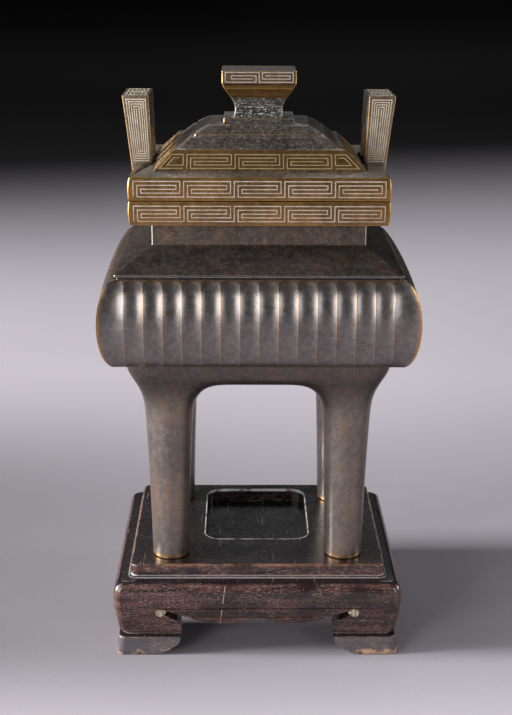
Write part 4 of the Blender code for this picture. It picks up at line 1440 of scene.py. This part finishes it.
def knob_levels(foot_z):
    """The knob as (half_x, half_y, z): waisted stem, flared underside and upright band."""
    top_z = foot_z + KNOB_HEIGHT
    stem = KNOB_HEIGHT - KNOB_BAND
    levels = []
    for (rise, flare), (next_rise, next_flare) in zip(KNOB_FLARE, KNOB_FLARE[1:]):
        for step in range(KNOB_ROWS):
            part = step / KNOB_ROWS
            spread = flare + part * (next_flare - flare)
            levels.append((KNOB_NECK_HALF_X + spread * (KNOB_HALF_X - KNOB_NECK_HALF_X),
                           KNOB_NECK_HALF_Y + spread * (KNOB_HALF_Y - KNOB_NECK_HALF_Y),
                           foot_z + (rise + part * (next_rise - rise)) * stem))
    levels.append((KNOB_HALF_X, KNOB_HALF_Y, top_z - KNOB_BAND))
    levels.append((KNOB_HALF_X, KNOB_HALF_Y, top_z))
    levels.append((KNOB_HALF_X - OVERLAP, KNOB_HALF_Y - OVERLAP, top_z))
    return levels


def cover_hollow():
    """The hollow under the cover, about one wall inside the dome."""
    dome = dome_levels()
    ratio = DOME_HALF_Y / DOME_HALF_X
    middle, crown, crown_top, cap = dome[2], dome[4], dome[6], dome[7]
    levels = [(MOUTH_HALF_X, MOUTH_HALF_Y, COVER_Z - OVERLAP),
              (MOUTH_HALF_X, MOUTH_HALF_Y, DOME_Z - FLANGE_WALL_ABOVE)]
    for inner, z in ((middle[0] - COVER_WALL_ASIDE, middle[2] - COVER_WALL_ABOVE),
                     (crown[0] - COVER_WALL_ASIDE, crown[2] - COVER_WALL_ABOVE),
                     (cap[0] - CAP_WALL_ASIDE, crown_top[2] - COVER_WALL)):
        levels.append((inner, ratio * inner, z))
    return stack("cover_hollow", levels, COVER_HOLLOW_CORNER, CORNER_STEPS)


def cover_zones(dome, reach):
    """The cover's bronzes from its foot up, each as (top, name)."""
    knob_foot = dome[-1][2]
    stem = KNOB_HEIGHT - KNOB_BAND
    return ((FLANGE_TOP_Z - 0.5 * reach, "rim"),
            (DOME_Z + 0.5 * reach, "ledge"),
            (dome[1][2], "slope"),
            (knob_foot, "dome"),
            (knob_foot + KNOB_STEM_SHARE * stem, "knob_stem"),
            (knob_foot + stem - 0.5 * reach, "knob_flare"),
            (math.inf, "knob_band"))


def notch_mesh(name, side):
    """What is cut out of the cover so that a handle can stand in it."""
    inner = handle_faces(0.0)[0] - NOTCH_CLEARANCE
    outer = RIM_HALF_X + HANDLE_TOP
    outline = rounded_rectangle(0.5 * (outer - inner), HANDLE_HALF_WIDTH + NOTCH_CLEARANCE,
                                EDGE_ROUND, 0, (side * 0.5 * (outer + inner), 0.0))
    return prism(name, outline, "Z", COVER_Z - OVERLAP, DOME_Z + OVERLAP)


def make_cover(sizes, bronzes):
    """The cover, cast in one with its knob: flange, stepped dome, notches for the handles."""
    dome = dome_levels()
    levels = [(RIM_HALF_X - OVERLAP, RIM_HALF_Y - OVERLAP, COVER_Z)]
    levels += band_levels(COVER_Z, FLANGE_HEIGHT, flange_off) + dome + knob_levels(dome[-1][2])
    profile = eased(levels, sizes.edge_reach)
    mesh = stack("bronze_cover", profile, EDGE_ROUND, CORNER_STEPS)
    cover = make_zoned("bronze_cover", mesh, cover_zones(dome, sizes.edge_reach), bronzes)
    tools = [(make_form("hollow", cover_hollow(), bronzes["hollow"]), "DIFFERENCE")]
    for name, side in (("notch_left", -1), ("notch_right", 1)):
        tools.append((make_form(name, notch_mesh(name, side), bronzes["rim"]), "DIFFERENCE"))
    join_forms(cover, tools)
    finish_piece(cover, "cover")


def lay_wire(bm, path, place, width, lift):
    """Let a flat wire into a surface along (across, up) points. Place gives a point's spot."""
    points = [Vector(point) for point in path]
    normals = []
    for start, end in zip(points, points[1:]):
        along = (end - start).normalized()
        normals.append(Vector((-along.y, along.x)))
    mitres = [normals[0]]
    for before, after in zip(normals, normals[1:]):
        mitres.append((before + after) / (1.0 + before.dot(after)))
    mitres.append(normals[-1])
    stations = []
    for index in range(len(points) - 1):
        start, end = points[index], points[index + 1]
        pieces = max(1, math.ceil((end - start).length / WIRE_PIECE))
        for step in range(pieces):
            share = step / pieces
            stations.append((start.lerp(end, share),
                             mitres[index].lerp(mitres[index + 1], share)))
    stations.append((points[-1], mitres[-1]))
    rows = []
    for point, mitre in stations:
        row = []
        for side, height in ((1, lift), (-1, lift), (-1, -WIRE_SINK), (1, -WIRE_SINK)):
            spot = point + mitre * (0.5 * side * width)
            row.append(bm.verts.new(place(spot.x, spot.y, height)))
        rows.append(row)
    for lower, upper in zip(rows, rows[1:]):
        for index in range(4):
            after = (index + 1) % 4
            bm.faces.new((lower[index], lower[after], upper[after], upper[index]))
    bm.faces.new(rows[0])
    bm.faces.new(list(reversed(rows[-1])))


def running_fret(left, right, cells, level, base):
    """A key fret between two ends: one line through all cells, the last winding inwards."""
    size = (right - left) / cells
    step = FRET_STEP
    top = FRET_LEVELS - 1
    marks = [(left, 0), (left, top)]
    for cell in range(cells):
        start = left + cell * size
        end = start + size
        if cell < cells - 1:
            marks += [(end - step, top), (end - step, 1), (start + 2 * step, 1),
                      (start + 2 * step, 2), (end - 2 * step, 2), (end - 2 * step, 3),
                      (start + step, 3), (start + step, 0), (end, 0), (end, top)]
        else:
            marks += [(end, top), (end, 0), (start + step, 0), (start + step, 3),
                      (end - step, 3), (end - step, 1), (start + 2 * step, 1),
                      (start + 2 * step, 2), (end - 2 * step, 2)]
    return [(across, base + rise * level) for across, rise in marks]


def inward_spiral(corners, pitch, turns):
    """A line that winds in from the first corner, parallel to a convex outline's sides."""
    count = len(corners)
    points = [Vector(corner) for corner in corners]
    middle = sum(points, Vector((0.0, 0.0))) / count
    lines = []
    for start, end in zip(points, points[1:] + points[:1]):
        along = (end - start).normalized()
        inward = Vector((-along.y, along.x))
        if inward.dot(middle - start) < 0.0:
            inward = -inward
        lines.append((start, along, inward))
    path = [points[0]]
    for index in range(1, turns * count):
        before = index - 1
        path.append(meeting(lines[before % count], pitch * (before // count),
                            lines[index % count], pitch * (index // count)))
    return [tuple(point) for point in path]


def meeting(first, first_depth, second, second_depth):
    """Where two lines cross, each moved inwards by its depth."""
    start_a = first[0] + first[2] * first_depth
    start_b = second[0] + second[2] * second_depth
    cross = first[1].x * second[1].y - first[1].y * second[1].x
    gap = start_b - start_a
    along = (gap.x * second[1].y - gap.y * second[1].x) / cross
    return start_a + first[1] * along


def band_place(side, half_x, half_y, foot_z, off):
    """Spots on an upright band on one side, set back by off(height) from its widest line."""
    out = side_sizes(side, half_x, half_y)[1]

    def place(across, up, lift):
        return turned(side, across, out - off(up) + lift, foot_z + up)
    return place


def slope_place(side, low, high):
    """Spots on a sloping face on one side, up along the slope from its foot."""
    out_low = side_sizes(side, low[0], low[1])[1]
    out_high = side_sizes(side, high[0], high[1])[1]
    run, rise = out_low - out_high, high[2] - low[2]
    length = math.hypot(run, rise)

    def place(across, up, lift):
        out = out_low - run * up / length + lift * rise / length
        return turned(side, across, out, low[2] + rise * up / length + lift * run / length)
    return place


def handle_edge_place(side, face):
    """Spots on a handle's narrow front or back face: across it, and up from the rim."""
    def place(across, up, lift):
        inner, outer = handle_faces(max(0.0, up / HANDLE_HEIGHT))
        x = 0.5 * (inner + outer) + across * (outer - inner) / HANDLE_TOP
        return (side * x, face * (HANDLE_HALF_WIDTH + lift), RIM_TOP_Z + up)
    return place


def handle_broad_place(side):
    """Spots on a handle's broad outer face: across it along Y, and up from the rim."""
    def place(across, up, lift):
        outer = handle_faces(max(0.0, up / HANDLE_HEIGHT))[1]
        return (side * (outer + lift), across, RIM_TOP_Z + up)
    return place


def handle_top_place(side):
    """Spots on a handle's top: across it along X from its middle, and along Y."""
    inner, outer = handle_faces(1.0)

    def place(across, up, lift):
        return (side * (0.5 * (inner + outer) + across), up, RIM_TOP_Z + HANDLE_HEIGHT + lift)
    return place


def band_base(height):
    """How far up a band the lowest level of its key fret runs."""
    return 0.5 * (height - (FRET_LEVELS - 1) * BAND_LEVEL)


def lay_rim(bm, side, wire):
    """The key fret on one side of the vessel's rim."""
    half = side_sizes(side, RIM_HALF_X, RIM_HALF_Y)[0] - FRET_MARGIN
    place = band_place(side, RIM_HALF_X, RIM_HALF_Y, RIM_Z, rim_off)
    path = running_fret(-half, half, round(2.0 * half / FRET_CELL), BAND_LEVEL,
                        band_base(RIM_HEIGHT))
    lay_wire(bm, path, place, *wire)


def lay_flange(bm, side, wire):
    """The key fret on one side of the cover's flange, parted by the notch on a short side."""
    half = side_sizes(side, RIM_HALF_X, RIM_HALF_Y)[0] - FRET_MARGIN
    place = band_place(side, RIM_HALF_X, RIM_HALF_Y, COVER_Z, flange_off)
    if side % 2 == 0:
        runs = [(-half, half, round(2.0 * half / FRET_CELL))]
    else:
        near = HANDLE_HALF_WIDTH + NOTCH_CLEARANCE + FRET_MARGIN
        runs = [(-half, -near, 1), (near, half, 1)]
    for left, right, cells in runs:
        path = running_fret(left, right, cells, BAND_LEVEL, band_base(FLANGE_HEIGHT))
        lay_wire(bm, path, place, *wire)


def lay_handles(wire):
    """Nested lines on the handles' edges, a border on their faces, spirals on their tops."""
    bm = bmesh.new()
    half = 0.5 * HANDLE_TOP - HANDLE_MARGIN
    head = HANDLE_HEIGHT - HANDLE_LINE_HEAD
    edge = [(-half, HANDLE_LINE_FOOT), (half, HANDLE_LINE_FOOT), (half, head), (-half, head)]
    broad = HANDLE_HALF_WIDTH - BORDER_MARGIN
    hole = HANDLE_HOLE_HALF + BORDER_HOLE
    hole_top = HANDLE_HOLE_HEIGHT + BORDER_HOLE
    border = [(-broad, BORDER_FOOT), (-broad, head), (broad, head), (broad, BORDER_FOOT),
              (hole, BORDER_FOOT), (hole, hole_top), (-hole, hole_top), (-hole, BORDER_FOOT),
              (-broad + BORDER_END, BORDER_FOOT)]
    end = HANDLE_HALF_WIDTH - HANDLE_MARGIN
    for side in (-1, 1):
        for face in (-1, 1):
            edge_path = inward_spiral(edge, HANDLE_PITCH, HANDLE_TURNS)
            lay_wire(bm, edge_path, handle_edge_place(side, face), *wire)
            top = [(-half, face * TOP_GAP), (half, face * TOP_GAP), (half, face * end),
                   (-half, face * end)]
            top_path = inward_spiral(top, TOP_PITCH, TOP_TURNS)
            lay_wire(bm, top_path, handle_top_place(side), *wire)
        lay_wire(bm, border, handle_broad_place(side), *wire)
    return bm


def lay_slope(bm, side, wire):
    """The key fret on the dome's lowest slope, with a wound triangle in each corner."""
    low, high = dome_levels()[:2]
    place = slope_place(side, low, high)
    foot_half, foot_out = side_sizes(side, low[0], low[1])
    head_half, head_out = side_sizes(side, high[0], high[1])
    length = math.hypot(foot_out - head_out, high[2] - low[2])
    cells = SLOPE_CELLS[side % 2]
    half = 0.5 * cells * SLOPE_CELL
    top = SLOPE_START + (FRET_LEVELS - 1) * SLOPE_LEVEL
    lay_wire(bm, running_fret(-half, half, cells, SLOPE_LEVEL, SLOPE_START), place, *wire)
    hip_low = foot_half - (foot_half - head_half) * SLOPE_START / length - HIP_MARGIN
    hip_high = foot_half - (foot_half - head_half) * top / length - HIP_MARGIN
    for end in (-1, 1):
        near = half + FRET_STEP
        corner = [(end * near, SLOPE_START), (end * hip_low, SLOPE_START),
                  (end * hip_high, top), (end * near, top)]
        lay_wire(bm, inward_spiral(corner, FRET_STEP, HIP_TURNS), place, *wire)


def knob_fret(half):
    """Two linked cells of key fret on the knob's band, in four levels."""
    step = KNOB_LEVEL
    base = 0.5 * (KNOB_BAND - (KNOB_LEVELS - 1) * KNOB_LEVEL)
    marks = [(-2 * step, 1), (-half + 2 * step, 1), (-half + 2 * step, 2), (-step, 2),
             (-step, 0), (-half, 0), (-half, 3), (0.0, 3), (0.0, 0), (half, 0), (half, 3),
             (step, 3), (step, 1), (half - step, 1), (half - step, 2), (2 * step, 2)]
    return [(across, base + rise * KNOB_LEVEL) for across, rise in marks]


def no_crown(_height):
    """The knob's band is flat, so it isn't set back."""
    return 0.0


def lay_knob(bm, side, wire):
    """The key fret on one side of the knob's band, in a finer wire."""
    width, lift = wire
    half = side_sizes(side, KNOB_HALF_X, KNOB_HALF_Y)[0] - KNOB_MARGIN
    foot_z = dome_levels()[-1][2] + KNOB_HEIGHT - KNOB_BAND
    place = band_place(side, KNOB_HALF_X, KNOB_HALF_Y, foot_z, no_crown)
    lay_wire(bm, knob_fret(half), place, KNOB_WIRE_SHARE * width, lift)


def lay_round(lay, wire):
    """What a function lays on each of the four sides."""
    bm = bmesh.new()
    for side in range(4):
        lay(bm, side, wire)
    return bm


def make_wire(name, bm, material):
    """A piece of silver inlay from what was laid in a bmesh."""
    wire = make_form(name, finish_mesh(name, bm), material)
    lay_on_model(wire)


def soft_light(name, look, power):
    """A rectangular soft light that faces its target."""
    light = bpy.data.lights.new(name, "AREA")
    light.shape = "RECTANGLE"
    light.size, light.size_y = look.size
    light.energy = power
    light.color = look.colour
    lamp = bpy.data.objects.new(name, light)
    bpy.context.scene.collection.objects.link(lamp)
    lamp.location = look.place
    way = Vector(look.target) - Vector(look.place)
    lamp.rotation_euler = way.to_track_quat("-Z", "Y").to_euler()


def make_floor(paper):
    """A wide sheet of paper on the ground."""
    bm = bmesh.new()
    bm.faces.new([bm.verts.new((x, y, 0.0)) for x, y in FLOOR_OUTLINE])
    make_form("floor", finish_mesh("floor", bm), paper)


def make_room():
    """The faint light that comes from all round."""
    world = bpy.data.worlds.new("studio")
    world.use_nodes = True
    background = world.node_tree.nodes["Background"]
    background.inputs["Color"].default_value = ROOM_COLOUR
    background.inputs["Strength"].default_value = ROOM_STRENGTH
    return world


def make_camera():
    """The camera, where the photograph was taken from."""
    camera = bpy.data.cameras.new("camera")
    camera.lens = CAMERA_LENS
    camera.sensor_width = CAMERA_SENSOR
    camera.clip_start = CAMERA_NEAR
    viewer = bpy.data.objects.new("camera", camera)
    bpy.context.scene.collection.objects.link(viewer)
    viewer.matrix_world = (Matrix.Translation(CAMERA_PLACE)
                           @ Matrix.Rotation(CAMERA_TURN, 4, "Z")
                           @ Matrix.Rotation(0.5 * math.pi - CAMERA_DROP, 4, "X")
                           @ Matrix.Rotation(CAMERA_ROLL, 4, "Z"))
    return viewer


class CenserSizes(bpy.types.PropertyGroup):
    """Sizes of the censer's fine forms."""

    edge_reach: FloatProperty(
        name="Edge rounding", description="How far the cast edges are rubbed round",
        default=0.00022, min=0.00005, max=0.0005, precision=5, unit="LENGTH")
    wood_reach: FloatProperty(
        name="Wood rounding", description="How far the wood's edges are rubbed round",
        default=0.00030, min=0.00005, max=0.0006, precision=5, unit="LENGTH")
    flute_depth: FloatProperty(
        name="Flute depth", description="Depth of a flute on the drum",
        default=0.0006, min=0.0002, max=0.0012, precision=5, unit="LENGTH")
    wire_width: FloatProperty(
        name="Wire width", description="Width of the silver wire in the surface",
        default=0.00031, min=0.0001, max=0.0008, precision=5, unit="LENGTH")
    wire_lift: FloatProperty(
        name="Wire lift", description="How far the wire stands out of the bronze",
        default=0.00003, min=0.0, max=0.0002, precision=5, unit="LENGTH")


class CenserColours(bpy.types.PropertyGroup):
    """Main colours of the censer and its stand."""

    drum: FloatVectorProperty(
        name="Drum", description="Patina of the fluted drum", subtype="COLOR",
        default=PATINAS["drum"].pale, min=0.0, max=1.0)
    shoulder: FloatVectorProperty(
        name="Shoulder", description="Patina of the shoulder", subtype="COLOR",
        default=PATINAS["shoulder"].pale, min=0.0, max=1.0)
    legs: FloatVectorProperty(
        name="Legs", description="Patina of the legs", subtype="COLOR",
        default=PATINAS["legs"].pale, min=0.0, max=1.0)
    rim: FloatVectorProperty(
        name="Bands", description="Bronze of the two inlaid bands", subtype="COLOR",
        default=PATINAS["rim"].pale, min=0.0, max=1.0)
    worn: FloatVectorProperty(
        name="Worn edges", description="Bare bronze on the rubbed edges", subtype="COLOR",
        default=srgb(188, 140, 78), min=0.0, max=1.0)
    silver: FloatVectorProperty(
        name="Silver", description="Bright part of the silver wire", subtype="COLOR",
        default=WIRES["silver_wire"][0], min=0.0, max=1.0)
    wood: FloatVectorProperty(
        name="Wood", description="Redder part of the dark wood", subtype="COLOR",
        default=srgb(74, 46, 43), min=0.0, max=1.0)


class StageSettings(bpy.types.PropertyGroup):
    """Floor and lights of the studio."""

    floor: FloatVectorProperty(
        name="Floor", description="Paper under the object", subtype="COLOR",
        default=srgb(172, 167, 176), min=0.0, max=1.0)
    key_power: FloatProperty(
        name="Side lights", description="Power of the stronger side light, on the left",
        default=55.0, min=0.0, max=100.0, unit="POWER")
    fill_power: FloatProperty(
        name="Front lights", description="Power of the stronger front light, on the left",
        default=4.8, min=0.0, max=100.0, unit="POWER")
    top_power: FloatProperty(
        name="Back light", description="Power of the soft light over the backdrop",
        default=3.0, min=0.0, max=100.0, unit="POWER")


def censer_bronzes(colours):
    """The patinas of each part of the casting, by name, made once."""
    found = {name: bpy.data.materials.get(f"{name}_bronze") for name in PATINAS}
    for name, look in PATINAS.items():
        if found[name] is None:
            own = getattr(colours, name, None)
            pale = tuple(own) if own is not None else look.pale
            edge = look.edge or colours.worn
            found[name] = bronze(f"{name}_bronze", look._replace(pale=pale, edge=edge))
    return found


class CENSER_OT_vessel(bpy.types.Operator):
    """Make the cast vessel with its legs and handles"""

    bl_idname = "censer.vessel"
    bl_label = "Vessel"

    def execute(self, context):
        scene = context.scene
        make_vessel(scene.censer_sizes, censer_bronzes(scene.censer_colours))
        return {"FINISHED"}


class CENSER_OT_cover(bpy.types.Operator):
    """Make the cast cover with its knob"""

    bl_idname = "censer.cover"
    bl_label = "Cover"

    def execute(self, context):
        scene = context.scene
        make_cover(scene.censer_sizes, censer_bronzes(scene.censer_colours))
        return {"FINISHED"}


class CENSER_OT_inlay(bpy.types.Operator):
    """Lay the silver wire into the rim, handles, flange, dome and knob"""

    bl_idname = "censer.inlay"
    bl_label = "Silver inlay"

    def execute(self, context):
        scene = context.scene
        wire = (scene.censer_sizes.wire_width, scene.censer_sizes.wire_lift)
        metals = {name: silver(name, *look) for name, look in WIRES.items()
                  if name != "silver_wire"}
        _, tarnish, share = WIRES["silver_wire"]
        plain = silver("silver_wire", scene.censer_colours.silver, tarnish, share)
        make_wire("inlay_rim", lay_round(lay_rim, wire), plain)
        make_wire("inlay_handles", lay_handles(wire), metals["handle_wire"])
        make_wire("inlay_flange", lay_round(lay_flange, wire), plain)
        make_wire("inlay_dome", lay_round(lay_slope, wire), metals["tarnished_wire"])
        make_wire("inlay_knob", lay_round(lay_knob, wire), metals["knob_wire"])
        return {"FINISHED"}


class CENSER_OT_stand(bpy.types.Operator):
    """Make the carved wood stand"""

    bl_idname = "censer.stand"
    bl_label = "Wood stand"

    def execute(self, context):
        scene = context.scene
        wood = polished_wood("dark_wood", WOOD_DARK, scene.censer_colours.wood, WOOD_PORE,
                             WOOD_WORN)
        make_stand(scene.censer_sizes.wood_reach, wood)
        make_eye_dust(dry_dust("eye_dust", EYE_DUST_PALE))
        return {"FINISHED"}


class CENSER_OT_stage(bpy.types.Operator):
    """Make the floor, the soft lights and the camera"""

    bl_idname = "censer.stage"
    bl_label = "Studio"

    def execute(self, context):
        scene = context.scene
        stage = scene.censer_stage
        make_floor(backdrop_paper("paper", stage.floor, PAPER_FAR_SHADE))
        for name, look in LIGHTS.items():
            soft_light(name, look, look.share * getattr(stage, look.power))
        scene.world = make_room()
        scene.camera = make_camera()
        scene.view_settings.view_transform = "Standard"
        return {"FINISHED"}


class CENSER_PT_panel(bpy.types.Panel):
    """The censer's pieces and settings in the 3D view's sidebar"""

    bl_label = "Bronze censer"
    bl_space_type = "VIEW_3D"
    bl_region_type = "UI"
    bl_category = "Censer"

    def draw(self, context):
        for operator in OPERATORS:
            self.layout.operator(operator.bl_idname)
        for group in ("censer_sizes", "censer_colours", "censer_stage"):
            settings = getattr(context.scene, group)
            box = self.layout.box()
            for name in settings.__annotations__:
                box.prop(settings, name)


OPERATORS = (CENSER_OT_vessel, CENSER_OT_cover, CENSER_OT_inlay, CENSER_OT_stand,
             CENSER_OT_stage)
GROUPS = {"censer_sizes": CenserSizes, "censer_colours": CenserColours,
          "censer_stage": StageSettings}


def register():
    """Register the settings, the operators and the panel."""
    for name, group in GROUPS.items():
        bpy.utils.register_class(group)
        setattr(bpy.types.Scene, name, PointerProperty(type=group))
    for item in (*OPERATORS, CENSER_PT_panel):
        bpy.utils.register_class(item)


def unregister():
    """Take the panel, the operators and the settings away again."""
    for item in (CENSER_PT_panel, *reversed(OPERATORS)):
        bpy.utils.unregister_class(item)
    for name, group in reversed(GROUPS.items()):
        delattr(bpy.types.Scene, name)
        bpy.utils.unregister_class(group)


def main():
    """Make the whole scene."""
    register()
    bpy.ops.censer.vessel()
    bpy.ops.censer.cover()
    bpy.ops.censer.inlay()
    bpy.ops.censer.stand()
    bpy.ops.censer.stage()


if __name__ == "__main__":
    main()
